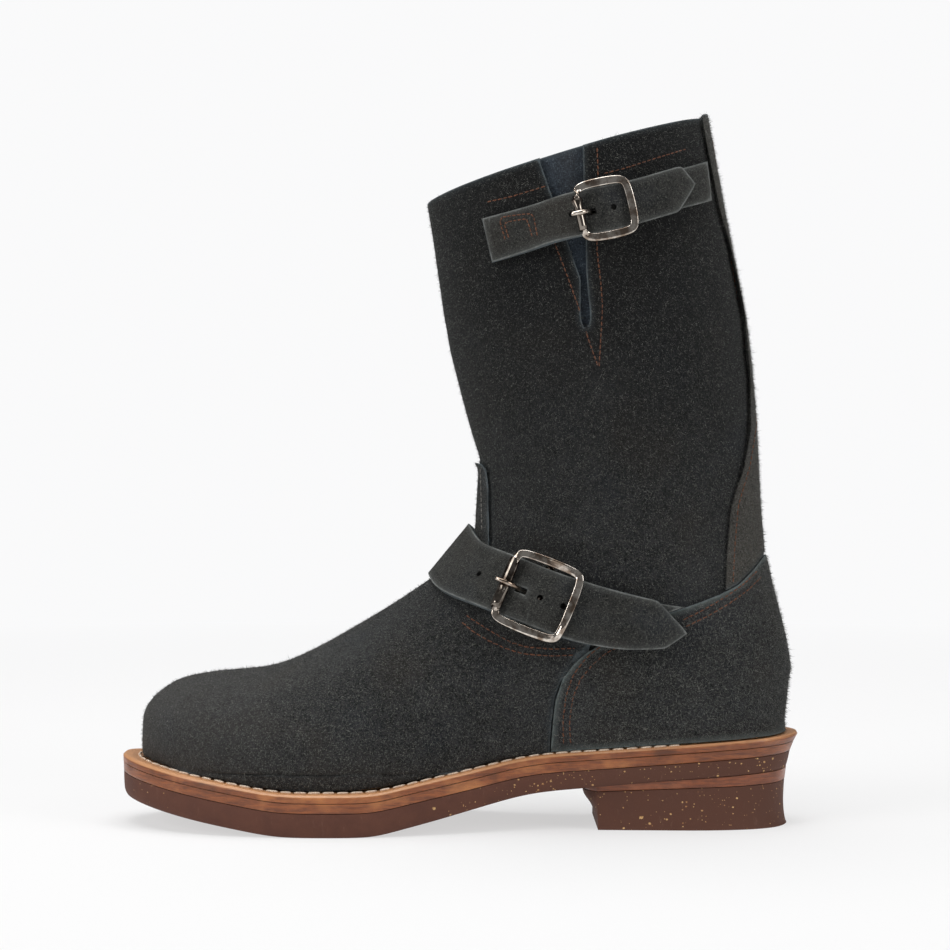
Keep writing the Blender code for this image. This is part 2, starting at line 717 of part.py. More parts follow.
def crumbs(bm):
    """Vertices of every shell but the largest: slivers that a cut leaves behind."""
    shells, seen = [], set()
    for start in bm.verts:
        if start in seen:
            continue
        seen.add(start)
        found, waiting = [], [start]
        while waiting:
            vertex = waiting.pop()
            found.append(vertex)
            for edge in vertex.link_edges:
                other = edge.other_vert(vertex)
                if other not in seen:
                    seen.add(other)
                    waiting.append(other)
        shells.append(found)
    largest = max(shells, key=len)
    return [vertex for found in shells if found is not largest for vertex in found]


def combine(target, tool, operation):
    """Boolean of the tool on the target, applied; the tool is removed."""
    modifier = target.modifiers.new(operation.title(), "BOOLEAN")
    modifier.operation = operation
    modifier.object = tool
    bpy.context.view_layer.update()
    graph = bpy.context.evaluated_depsgraph_get()
    mesh = bpy.data.meshes.new_from_object(target.evaluated_get(graph))
    target.modifiers.clear()
    target.data = mesh
    bpy.data.objects.remove(tool)
    bm = bmesh.new()
    bm.from_mesh(mesh)
    bmesh.ops.remove_doubles(bm, verts=bm.verts, dist=MEET)
    bmesh.ops.dissolve_degenerate(bm, edges=bm.edges, dist=MEET / 2)
    bmesh.ops.delete(bm, geom=crumbs(bm), context="VERTS")
    bm.to_mesh(mesh)
    bm.free()
    return target


def clear_scene():
    for thing in list(bpy.data.objects):
        bpy.data.objects.remove(thing)


def finish(thing, colour, roughness, metallic=0.0, sharp=35):
    material = bpy.data.materials.new(thing.name)
    material.use_nodes = True
    shader = material.node_tree.nodes["Principled BSDF"]
    shader.inputs["Base Color"].default_value = (*colour, 1)
    shader.inputs["Roughness"].default_value = roughness
    shader.inputs["Metallic"].default_value = metallic
    thing.data.materials.clear()
    thing.data.materials.append(material)
    thing.data.shade_smooth()
    thing.data.set_sharp_from_angle(angle=math.radians(sharp))
    return thing


SUEDE = (0.042, 0.044, 0.047)
STRAP_LEATHER = (0.062, 0.060, 0.057)
GUSSET_LEATHER = (0.050, 0.060, 0.075)
SOLE_LEATHER = (0.42, 0.17, 0.06)
LIFT_LEATHER = (0.26, 0.10, 0.04)
RUBBER = (0.11, 0.045, 0.030)
INSOLE_LEATHER = (0.45, 0.30, 0.18)
NICKEL = (0.75, 0.74, 0.72)


def make_sole():
    outsole = plate("outsole", [
        (*TREAD_EDGE, underside),
        (*OUTSOLE_LOW_EDGE, lambda x: underside(x) + EDGE_ROUND),
        (*OUTSOLE_TOP_EDGE, outsole_top),
    ])
    finish(outsole, RUBBER, 0.75)
    midsole = plate("midsole", [
        (*MIDSOLE_LOW_EDGE, lambda x: outsole_top(x) + CLEAR),
        (*MIDSOLE_TOP_EDGE, midsole_top),
    ])
    finish(midsole, SOLE_LEATHER, 0.55)
    inner = (WELT_WIDTH, WELT_WIDTH)
    welt = hoop("welt", [
        (*WELT_LOW_EDGE, lambda x: midsole_top(x) + CLEAR),
        (*WELT_RIM_EDGE, lambda x: welt_top(x) - WELT_BEVEL),
        (*WELT_TOP_EDGE, welt_top),
        (*inner, welt_top),
        (*inner, lambda x: midsole_top(x) + CLEAR),
    ])
    finish(welt, SOLE_LEATHER, 0.5)
    lift = heel_piece("heel_lift", [
        (LIFT_EDGE[0] * HEEL_WAIST, BREAST_LIP, lift_underside),
        (LIFT_EDGE[1] * HEEL_WAIST, BREAST_LIP, lambda x: underside(x) - CLEAR),
    ])
    finish(lift, LIFT_LEATHER, 0.6)

    def block_level(up):
        return lambda x: up * (float(lift_underside(x)) - CLEAR)

    block = heel_piece("heel_block", [
        (waist * HEEL_WAIST, lip * BREAST_LIP, block_level(up))
        for waist, lip, up in zip(*HEEL_LEVELS.values())
    ])
    finish(block, RUBBER, 0.75)


def make_insole():
    """Insole inside the upper, with the raised filler under it that fits the welt's ring."""
    bm = bmesh.new()
    inner = shell(wall_offset())
    rings = []
    boss = WELT_WIDTH + CLEAR
    plan = plan_ring(boss, boss)
    low = [bm.verts.new((x, y, midsole_top(x) + CLEAR)) for x, y in plan]
    rings.append(low)
    rings.append([bm.verts.new((x, y, welt_top(x) + SEAT_GAP)) for x, y in plan])
    sides = []
    for column in (0, -1):
        edge = inner[: CLOSED_ROW + 1, column, :2]
        sides.append(even(edge[::-1], SOLE_POINTS * 4 + 1))
    halves = []
    for side, sign in zip(sides, SIGNS):
        halves.append(even(inward(side, sign, INSOLE_FIT), SOLE_POINTS + 1))
    plan = np.concatenate([halves[0], halves[1][-2:0:-1]])
    rings.append([bm.verts.new((x, y, welt_top(x) + SEAT_GAP)) for x, y in plan])
    raised = SEAT_GAP + INSOLE_THICKNESS
    rings.append([bm.verts.new((x, y, welt_top(x) + raised)) for x, y in plan])
    for lower, upper in zip(rings[:-1], rings[1:]):
        bridge(bm, lower + lower[:1], upper + upper[:1])
    cap(bm, rings[0])
    cap(bm, rings[-1])
    closed_up(bm)
    return finish(new_object("insole", bm), INSOLE_LEATHER, 0.6)


def foot_edge(edge, raised=0.0):
    """Side-view points of an edge given over the welt."""
    x = HEEL_X - edge["ahead"] * SOLE_LENGTH
    return list(zip(x, welt_top(x) + edge["up"] * INSTEP_RISE + raised))


def shaft_edge(edge):
    """Side-view points of an edge given over the heel's seat."""
    seat = float(welt_top(HEEL_X)) + SEAT_GAP
    return list(zip(HEEL_X - edge["ahead"] * SHAFT_DEPTH, seat + edge["up"] * SHAFT_HEIGHT))


def counter_outline(raised=0.0):
    edge = foot_edge(COUNTER_EDGE, raised)
    return edge + [(edge[-1][0], edge[0][1])]


def make_upper():
    """Foot and shaft in one wall, with the vamp as a step on it and the slit cut in its side."""
    upper = between("upper", shell(0), shell(wall_offset()))
    rows = slice(0, CLOSED_ROW + VAMP_RINGS)
    depth = VAMP_LET_IN * TOE_WALL
    vamp = between("vamp", shell(VAMP_STEP, rows), shell(-depth, rows))
    edge = foot_edge(VAMP_EDGE)
    front = [(x - 2 * CLEAR, z + 2 * CLEAR) for x, z in foot_edge(COUNTER_EDGE)[:6]]
    ahead = edge[0][0] - SOLE_LENGTH
    side = edge + front[::-1] + [(ahead, front[0][1]), (ahead, edge[0][1])]
    combine(vamp, prism("vamp_side", side, -BALL_WIDTH, BALL_WIDTH), "INTERSECT")
    combine(upper, vamp, "UNION")
    slit = prism("slit", shaft_edge(SLIT_EDGE), -BALL_WIDTH, 0)
    combine(upper, slit, "DIFFERENCE")
    return finish(upper, SUEDE, 0.95)


def make_counter():
    rows = slice(0, CLOSED_ROW + COUNTER_RINGS)
    counter = between(
        "heel_counter", shell(CLEAR + COUNTER_THICKNESS, rows), shell(CLEAR, rows)
    )
    side = prism("counter_side", counter_outline(), -BALL_WIDTH, BALL_WIDTH)
    combine(counter, side, "INTERSECT")
    return finish(counter, SUEDE, 0.95)


def make_back_stay():
    """Strip up the back of the shaft, folded over the collar and a little way down inside."""
    rows = slice(-STAY_RINGS, None)
    over = GRID[-1] - GRID[-2]
    over /= np.linalg.norm(over, axis=1, keepdims=True)
    wall = -float(wall_offset()[-1])
    faces = []
    for gap in (CLEAR + STAY_THICKNESS, CLEAR):
        outside = shell(gap, rows)
        inside = shell(-wall - gap)
        top = over * gap
        folded = np.stack([outside[-1] + top, inside[-1] + top, inside[-2]])
        faces.append(np.concatenate([outside[:-1], folded]))
    stay = between("back_stay", *faces)
    edge = shaft_edge(STAY_EDGE)
    counter = np.array(foot_edge(COUNTER_EDGE, 2 * CLEAR))
    front = edge[-1][0]
    foot = [(front, np.interp(front, counter[:, 0], counter[:, 1]))]
    foot += [tuple(point) for point in counter if point[0] > front]
    side = edge[:-1] + foot + [(foot[-1][0], edge[0][1])]
    combine(stay, prism("stay_side", side, -BALL_WIDTH, BALL_WIDTH), "INTERSECT")
    return finish(stay, SUEDE, 0.95)


def make_gusset():
    wall = wall_offset()
    rows = slice(-GUSSET_RINGS, None)
    gusset = between(
        "gusset", shell(wall - CLEAR, rows), shell(wall - CLEAR - GUSSET_THICKNESS, rows)
    )
    side = prism("gusset_side", shaft_edge(GUSSET_EDGE), -BALL_WIDTH, 0)
    combine(gusset, side, "INTERSECT")
    return finish(gusset, GUSSET_LEATHER, 0.55)


def seat_height():
    return float(welt_top(HEEL_X)) + SEAT_GAP


def tree_of(*things):
    """One search tree over the finished solids, to rest straps on."""
    points, faces = [], []
    for thing in things:
        start = len(points)
        points += [vertex.co.copy() for vertex in thing.data.vertices]
        faces += [[start + i for i in face.vertices] for face in thing.data.polygons]
    return BVHTree.FromPolygons(points, faces)


def radial(angle):
    """Direction out of the ankle's axis; 0 degrees is the front, 90 the lateral side."""
    turned = math.radians(angle)
    return np.array([-math.cos(turned), -math.sin(turned), 0.0])


def reach(tree, angle, height):
    """How far the solids reach out from the ankle's axis at that angle and height."""
    axis = np.array([HEEL_X - ANKLE_AXIS_AHEAD, 0.0, height])
    start = axis + radial(angle) * SOLE_LENGTH
    spot = tree.ray_cast(Vector(start), Vector(-radial(angle)))[0]
    return float(np.linalg.norm((np.array(spot) - axis)[:2]))


def strap_course(tree, course, rise, width, lift_bar, lift_short, step=7.0):
    """Inner face of a strap that rests on the solids: rows of a lower and an upper point."""
    count = int(round((course["angle"][-1] - course["angle"][0]) / step)) + 1
    angles = np.linspace(course["angle"][0], course["angle"][-1], count)
    at = {name: smooth_curve(course["angle"], column, angles) for name, column in course.items()}
    middle = seat_height() + at["middle"] * rise
    lows, highs = [], []
    for angle, centre, share in zip(angles, middle, at["width"]):
        heights = centre + width * share * np.linspace(-0.5, 0.5, 7)
        reaches = np.array([reach(tree, angle, height) for height in heights])
        slope = np.linspace(reaches[0], reaches[-1], 7)
        lean = math.hypot(1, (reaches[-1] - reaches[0]) / (heights[-1] - heights[0]))
        raised = slope + (reaches - slope).max() + CLEAR * lean + CLEAR
        lows.append(raised[0])
        highs.append(raised[-1])
    lift = np.maximum(at["bar"] * lift_bar, at["short"] * lift_short)
    edges = []
    for reaches, side in ((lows, -0.5), (highs, 0.5)):
        reaches = np.array(reaches)
        for _ in range(4):
            between_them = (reaches[:-2] + reaches[2:]) / 2
            reaches[1:-1] = np.maximum(reaches[1:-1], between_them)
        heights = middle + side * width * at["width"]
        out = np.array([radial(angle) for angle in angles])
        points = out * reaches[:, None]
        points[:, 0] += HEEL_X - ANKLE_AXIS_AHEAD
        points[:, 2] = heights
        edges.append(points)
    rows = np.stack(edges, axis=1)
    return angles, rows + face_normals(rows) * lift[:, None, None]


def face_normals(rows):
    """Outward normals of a strap's face, one for each point."""
    along = np.gradient(rows, axis=0)
    across = (rows[:, 1] - rows[:, 0])[:, None, :]
    normals = np.cross(across, along)
    normals /= np.linalg.norm(normals, axis=2, keepdims=True)
    centre = np.array([HEEL_X - ANKLE_AXIS_AHEAD, 0.0, 0.0])
    outward = ((rows - centre) * normals * (1, 1, 0)).sum() > 0
    return normals if outward else -normals


def strap_solid(name, rows, thickness):
    strap = between(name, rows + face_normals(rows) * thickness, rows)
    bm = bmesh.new()
    bm.from_mesh(strap.data)
    bmesh.ops.triangulate(bm, faces=bm.faces)
    outward(bm)
    bm.to_mesh(strap.data)
    bm.free()
    return strap


class Place:
    """A spot on a strap: origin, u towards the strap's front end, v up across it, n outwards."""

    def __init__(self, angles, rows, angle):
        def point(at):
            return np.array([np.interp(at, angles, column) for column in rows.mean(axis=1).T])

        low, high = (
            np.array([np.interp(angle, angles, column) for column in rows[:, side].T])
            for side in (0, 1)
        )
        self.origin = point(angle)
        ahead = point(angle - 3) - point(angle + 3)
        self.u = ahead / np.linalg.norm(ahead)
        self.n = np.cross(self.u, high - low)
        self.n /= np.linalg.norm(self.n)
        if self.n @ radial(angle) < 0:
            self.n = -self.n
        self.v = np.cross(self.n, self.u)
        if self.v[2] < 0:
            self.v = -self.v

    def world(self, u, v, n):
        return self.origin + u * self.u + v * self.v + n * self.n

    def local(self, points):
        away = np.asarray(points) - self.origin
        return np.stack([away @ self.u, away @ self.v, away @ self.n], axis=-1)


def wire(name, points, radius, closed=False):
    """Round wire along the points."""
    curve = bpy.data.curves.new(name, "CURVE")
    curve.dimensions = "3D"
    curve.bevel_depth = radius
    curve.bevel_resolution = 2
    curve.use_fill_caps = True
    spline = curve.splines.new("POLY")
    spline.points.add(len(points) - 1)
    for spot, point in zip(spline.points, points):
        spot.co = (*point, 1)
    spline.use_cyclic_u = closed
    thing = bpy.data.objects.new(name, curve)
    bpy.context.scene.collection.objects.link(thing)
    bpy.context.view_layer.update()
    mesh = bpy.data.meshes.new_from_object(
        thing.evaluated_get(bpy.context.evaluated_depsgraph_get())
    )
    bpy.data.objects.remove(thing)
    bm = bmesh.new()
    bm.from_mesh(mesh)
    bmesh.ops.remove_doubles(bm, verts=bm.verts, dist=MEET)
    outward(bm)
    return new_object(name, bm)


def pipe(name, place, u, n, v_low, v_high, radius, bore=0.0, sides=12):
    """Cylinder or pipe across a strap, its axis along v at (u, n)."""
    bm = bmesh.new()
    rings = []
    radii = (radius, radius, bore, bore) if bore else (radius, radius)
    ends = (v_low, v_high, v_high, v_low) if bore else (v_low, v_high)
    for ring_radius, v in zip(radii, ends):
        ring = []
        for i in range(sides):
            turn = 2 * math.pi * i / sides
            spot = place.world(
                u + ring_radius * math.cos(turn), v, n + ring_radius * math.sin(turn)
            )
            ring.append(bm.verts.new(spot))
        rings.append(ring)
    joins = zip(rings, rings[1:] + rings[:1]) if bore else zip(rings[:1], rings[1:])
    for one, other in joins:
        bridge(bm, one + one[:1], other + other[:1])
    if not bore:
        bm.faces.new(rings[0])
        bm.faces.new(rings[1])
    outward(bm)
    return new_object(name, bm)


def block(name, place, low, high):
    """Box in a strap's own directions."""
    bm = bmesh.new()
    bmesh.ops.create_cube(bm, size=1)
    low, high = np.array(low), np.array(high)
    for vertex in bm.verts:
        share = np.array(vertex.co) + 0.5
        vertex.co = place.world(*(low + share * (high - low)))
    outward(bm)
    return new_object(name, bm)


def punch(strap, place):
    """Round hole through a strap."""
    bm = bmesh.new()
    rings = []
    for n in (-4 * HOLE_RADIUS, 4 * HOLE_RADIUS):
        turns = [2 * math.pi * i / 12 for i in range(12)]
        spots = [
            place.world(HOLE_RADIUS * math.cos(t), HOLE_RADIUS * math.sin(t), n) for t in turns
        ]
        rings.append([bm.verts.new(spot) for spot in spots])
        bm.faces.new(rings[-1])
    bridge(bm, rings[0] + rings[0][:1], rings[1] + rings[1][:1])
    outward(bm)
    combine(strap, new_object("punch", bm), "DIFFERENCE")


def rounded_frame(length, width, corner):
    """Points (u, v) round a rectangle with round corners, from its front upper corner."""
    points = []
    for u_sign, v_sign, start in ((1, 1, 0), (-1, 1, 90), (-1, -1, 180), (1, -1, 270)):
        for i in range(3):
            turn = math.radians(start + 45 * i)
            u = u_sign * (length / 2 - corner) + corner * math.cos(turn)
            v = v_sign * (width / 2 - corner) + corner * math.sin(turn)
            points.append((u, v))
    return points


def make_buckle(word, place, outer_rows, strap_width, length):
    """Centre-bar roller buckle: frame with its bar under the strap, roller at the front, prong."""
    loop_radius = WIRE_RADIUS + CLEAR + LOOP_WALL
    bar_n = -CLEAR - loop_radius
    inside = strap_width + 2 * SIDE_GAP
    width = inside + 2 * WIRE_RADIUS
    u_end = length / 2 - WIRE_RADIUS
    strap = place.local(outer_rows)
    roller_radius = WIRE_RADIUS + CLEAR + ROLLER_WALL

    def over_strap(u):
        """Top of the strap at u, in the buckle's own directions."""
        order = np.argsort(strap[:, 0, 0])
        near = [np.interp(u, strap[order, side, 0], strap[order, side, 2]) for side in (0, 1)]
        return max(near)

    span = np.linspace(-roller_radius, roller_radius, 5)
    front = max(over_strap(u_end + du) for du in span) + CLEAR + roller_radius
    rear = max(over_strap(-u_end + du) for du in span) + CLEAR + WIRE_RADIUS

    def height(u):
        return rear + (front - rear) * (u + u_end) / (2 * u_end)

    corner = 3.2 * WIRE_RADIUS
    path = rounded_frame(length - 2 * WIRE_RADIUS, width, corner)
    ring = wire(
        f"{word}_buckle_frame", [place.world(u, v, height(u)) for u, v in path], WIRE_RADIUS, True
    )
    side = width / 2
    legs = [(side, height(0)), (side, bar_n), (-side, bar_n), (-side, height(0))]
    bar = wire("bar", [place.world(0, v, n) for v, n in legs], 0.94 * WIRE_RADIUS)
    finish(combine(ring, bar, "UNION"), NICKEL, 0.12, 1.0, sharp=50)
    reach_v = inside / 2 - corner + WIRE_RADIUS - CLEAR
    roller = pipe(
        f"{word}_buckle_roller", place, u_end, height(u_end), -reach_v, reach_v,
        roller_radius, WIRE_RADIUS + CLEAR,
    )
    finish(roller, NICKEL, 0.12, 1.0)
    eye = pipe(
        f"{word}_buckle_prong", place, 0, bar_n, -PRONG_RADIUS, PRONG_RADIUS,
        loop_radius - 2 * CLEAR, WIRE_RADIUS + CLEAR,
    )
    top = height(u_end) + roller_radius + 3 * CLEAR + PRONG_RADIUS
    ride = over_strap(PRONG_RISE[1] * u_end) + PRONG_RADIUS
    wall = (WIRE_RADIUS + loop_radius) / 2
    route = [
        (0.90 * wall, bar_n + 0.35 * wall),
        (PRONG_RISE[0] * u_end, -PRONG_RADIUS - 2 * CLEAR),
        (PRONG_RISE[1] * u_end, ride),
        (u_end - 1.2 * roller_radius, top),
        (u_end + roller_radius, top),
        (u_end + 2 * roller_radius, top - PRONG_RADIUS),
    ]
    rod = wire("rod", [place.world(u, 0, n) for u, n in route], PRONG_RADIUS)
    finish(combine(eye, rod, "UNION"), NICKEL, 0.12, 1.0)
    return bar_n, route


def make_strap_set(word, supports, course, rise, width, thickness, buckle_angle, buckle_length,
                   ends, short_end, holes):
    """Long strap, buckle, and the short strap that holds the buckle's bar."""
    loop_radius = WIRE_RADIUS + CLEAR + LOOP_WALL
    tree = tree_of(*supports)
    lift_bar = 2 * loop_radius + CLEAR
    angles, rows = strap_course(
        tree, course, rise, width, lift_bar, SHORT_STRAP_THICKNESS + CLEAR
    )
    long_strap = strap_solid(f"{word}_strap", rows, thickness)
    place = Place(angles, rows, buckle_angle)
    outer_rows = rows + face_normals(rows) * thickness
    near = abs(angles - buckle_angle) < BUCKLE_REACH
    bar_n, route = make_buckle(word, place, outer_rows[near], width, buckle_length)
    for outline, low, high in ends:
        combine(long_strap, prism("end", outline, low, high), "DIFFERENCE")
    slot = block(
        "slot", place, (route[1][0] - 1.3 * PRONG_RADIUS, -PRONG_RADIUS - CLEAR, -2 * thickness),
        (route[2][0] + 1.3 * PRONG_RADIUS, PRONG_RADIUS + CLEAR, 3 * thickness),
    )
    combine(long_strap, slot, "DIFFERENCE")
    for hole in holes:
        turn = math.degrees(hole * HOLE_SPACING / float(np.linalg.norm(place.origin[:2])))
        punch(long_strap, Place(angles, rows, buckle_angle - turn))
    finish(long_strap, STRAP_LEATHER, 0.9)
    short_width = SHORT_STRAP_WIDTH_SHARE * width
    short_course = dict(course)
    short_angles, short_rows = strap_course(tree, short_course, rise, short_width, 0.0, 0.0)
    local = place.local(short_rows.mean(axis=1))
    behind = local[:, 0] < -2 * loop_radius
    first = short_rows[behind & (short_angles > buckle_angle)]
    start = []
    for v in (-short_width / 2, short_width / 2):
        start.append(place.world(-WIRE_RADIUS - 2 * CLEAR, v, bar_n - SHORT_STRAP_THICKNESS / 2))
    body = np.concatenate([np.array(start)[None], first])
    short = strap_solid(f"{word}_buckle_strap", body, SHORT_STRAP_THICKNESS)
    slit = PRONG_RADIUS + CLEAR
    opening = block(
        "opening", place, (-loop_radius - CLEAR, -slit, bar_n - 2 * loop_radius),
        (2 * loop_radius, slit, 2 * loop_radius),
    )
    combine(short, opening, "DIFFERENCE")
    near_end, far_end = slit + CLEAR, short_width / 2 - CLEAR
    for low, high in ((-far_end, -near_end), (near_end, far_end)):
        loop = pipe("loop", place, 0, bar_n, low, high, loop_radius, WIRE_RADIUS + CLEAR)
        combine(short, loop, "UNION")
    combine(short, prism("end", *short_end), "DIFFERENCE")
    finish(short, STRAP_LEATHER, 0.9)


def side_outline(edge):
    x = HEEL_X - edge["ahead"] * SOLE_LENGTH
    return list(zip(x, seat_height() + edge["up"] * SHAFT_HEIGHT))


def make_straps(upper, counter, stay):
    spread = [(x - 2 * CLEAR, z) for x, z in counter_outline(2 * CLEAR)]
    make_strap_set(
        "instep", (upper, counter, stay), INSTEP_COURSE, INSTEP_RISE, INSTEP_STRAP_WIDTH,
        INSTEP_STRAP_THICKNESS, INSTEP_BUCKLE_ANGLE, INSTEP_BUCKLE_LENGTH,
        [(side_outline(INSTEP_TIP), -BALL_WIDTH, 0), (spread, 0, BALL_WIDTH)],
        (spread, -BALL_WIDTH, 0), (-0.1, -1.1, 2.3),
    )
    stay_side = [(x - 2 * CLEAR, z) for x, z in shaft_edge(STAY_EDGE)]
    stay_side += [(stay_side[-1][0] + SHAFT_DEPTH, z) for _, z in (stay_side[-1], stay_side[0])]
    make_strap_set(
        "top", (upper, counter, stay), TOP_COURSE, SHAFT_HEIGHT, TOP_STRAP_WIDTH,
        TOP_STRAP_THICKNESS, TOP_BUCKLE_ANGLE, TOP_BUCKLE_LENGTH,
        [
            (side_outline(TOP_TIP), -BALL_WIDTH, 0),
            (side_outline(TOP_FRONT_END), -BALL_WIDTH, 0),
        ],
        (stay_side, -BALL_WIDTH, 0), (-0.55, 1.8),
    )


def centre_box():
    """Move every piece so that the middle of the whole box stands over the origin."""
    things = [thing for thing in bpy.data.objects if thing.type == "MESH"]
    corners = np.array([vertex.co[:] for thing in things for vertex in thing.data.vertices])
    middle = (corners.min(axis=0) + corners.max(axis=0)) / 2
    for thing in things:
        for vertex in thing.data.vertices:
            vertex.co -= Vector((middle[0], middle[1], 0))


clear_scene()
make_sole()
upper = make_upper()
make_insole()
counter = make_counter()
stay = make_back_stay()
make_gusset()
make_straps(upper, counter, stay)
centre_box()
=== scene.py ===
"""Left engineer boot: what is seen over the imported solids, and the photograph's view of it."""

import math
from contextlib import contextmanager

import bmesh
import bpy
import numpy as np
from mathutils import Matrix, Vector, noise
from mathutils.bvhtree import BVHTree


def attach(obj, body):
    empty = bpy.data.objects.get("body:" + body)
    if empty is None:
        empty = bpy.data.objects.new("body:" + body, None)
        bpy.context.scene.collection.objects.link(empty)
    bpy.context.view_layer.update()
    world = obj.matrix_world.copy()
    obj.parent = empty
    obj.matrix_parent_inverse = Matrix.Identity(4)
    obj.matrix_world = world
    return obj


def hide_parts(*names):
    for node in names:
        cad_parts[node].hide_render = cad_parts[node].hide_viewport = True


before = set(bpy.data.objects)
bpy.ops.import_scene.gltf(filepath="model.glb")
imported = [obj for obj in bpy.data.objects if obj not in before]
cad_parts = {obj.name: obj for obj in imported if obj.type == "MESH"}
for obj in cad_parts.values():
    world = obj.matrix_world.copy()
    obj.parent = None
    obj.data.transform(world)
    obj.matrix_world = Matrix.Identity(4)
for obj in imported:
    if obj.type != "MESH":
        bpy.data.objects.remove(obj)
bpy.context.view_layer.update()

MM = 0.001

# The photograph's camera: its place, and its focal length and picture in pixels
EYE = Vector((0.0067, -1.0924, 0.1542))
FOCAL = 2464
PICTURE = 950
MIDDLE = PICTURE // 2

# Places that the boot's forms are measured from, in metres
MIDDLE_PLANE = 0.0076
SHAFT_AXIS = Vector((0.045, 0.008, 0))
TOE_CENTRE = (-0.085, 0.010)
SOLE_CENTRE = Vector((-0.03, 0.008, 0))
SOLE_MIDDLE = np.array([-0.02, 0.008])
OUTSIDE, OVERHEAD = 0.4, 0.2

# Slots of a hide piece's three finishes
OUTER, CUT, INNER = 0, 1, 2


# Shader maths


class Value:
    """A socket that takes part in sums."""

    def __init__(self, sheet, socket):
        self.sheet, self.socket = sheet, socket

    def math(self, operation, *values):
        return self.sheet.add("ShaderNodeMath", {"operation": operation}, values)

    def __add__(self, other):
        return self.math("ADD", self, other)

    __radd__ = __add__

    def __mul__(self, other):
        return self.math("MULTIPLY", self, other)

    __rmul__ = __mul__

    def __sub__(self, other):
        return self.math("SUBTRACT", self, other)

    def __rsub__(self, other):
        return self.math("SUBTRACT", other, self)

    def __truediv__(self, other):
        return self.math("DIVIDE", self, other)

    def most(self, other):
        return self.math("MAXIMUM", self, other)

    def clip(self, low, high):
        """0 at low, 1 at high, even between them."""
        return self.sheet.add("ShaderNodeMapRange", {"clamp": True}, (self, low, high, 0, 1))


class Finish:
    """One material, its nodes added by a single method."""

    def __init__(self, name, **fixed):
        self.material = bpy.data.materials.new(name)
        self.material.use_nodes = True
        self.tree = self.material.node_tree
        self.shader = self.tree.nodes["Principled BSDF"]
        self.wear(**fixed)

    def add(self, kind, settings, values, output=0):
        node = self.tree.nodes.new(kind)
        for key, value in settings.items():
            setattr(node, key, value)
        pairs = values.items() if isinstance(values, dict) else enumerate(values)
        for socket, value in pairs:
            self.put(node.inputs[socket], value)
        return Value(self, node.outputs[output])

    def put(self, socket, value):
        if isinstance(value, Value):
            self.tree.links.new(value.socket, socket)
        else:
            socket.default_value = value

    def wear(self, **sockets):
        for socket, value in sockets.items():
            self.put(self.shader.inputs[socket.replace("_", " ")], value)

    def relief(self, height, depth):
        bump = self.add("ShaderNodeBump", {}, {"Height": height, "Distance": depth})
        self.wear(Normal=bump)

    def place(self, stretch=(1, 1, 1)):
        coordinates = self.add("ShaderNodeTexCoord", {}, {}, "Object")
        return self.add("ShaderNodeMapping", {}, {"Vector": coordinates, "Scale": stretch})

    def along(self, axis):
        """Place on one axis, in metres."""
        return self.add("ShaderNodeSeparateXYZ", {}, (self.place(),), axis)

    def cloud(self, size, detail=3, rough=0.6, stretch=(1, 1, 1)):
        """Noise whose blotches are about size metres across."""
        values = {
            "Vector": self.place(stretch), "Scale": 1 / size, "Detail": detail,
            "Roughness": rough,
        }
        return self.add("ShaderNodeTexNoise", {}, values)

    def cells(self, size, output, stretch=(1, 1, 1)):
        values = {"Vector": self.place(stretch), "Scale": 1 / size}
        return self.add("ShaderNodeTexVoronoi", {}, values, output)

    def painted(self, name):
        return self.add("ShaderNodeAttribute", {"attribute_name": name}, {}, "Fac")

    def blend(self, share, one, other):
        values = {0: share, 6: one, 7: other}
        return self.add("ShaderNodeMix", {"data_type": "RGBA"}, values, 2)


def rgb(text):
    """Linear colour of a hex one."""
    parts = [int(text[i : i + 2], 16) / 255 for i in (0, 2, 4)]
    return (*[p / 12.92 if p < 0.04 else ((p + 0.055) / 1.055) ** 2.4 for p in parts], 1)


# Finishes

# Painted shade darkens the shaft between these heights, and painted light makes the toe paler
# between these lengths
COLLAR_SHADE_HEIGHTS = (0.055, 0.235)
TOE_LIGHT_LENGTHS = (-0.14, -0.05)
WARM_CAST, COLD_CAST = rgb("342f2a"), rgb("262c36")
PAINTED_COLLAR_SHADE, PAINTED_TOE_LIGHT = rgb("0e0f10"), rgb("55524f")


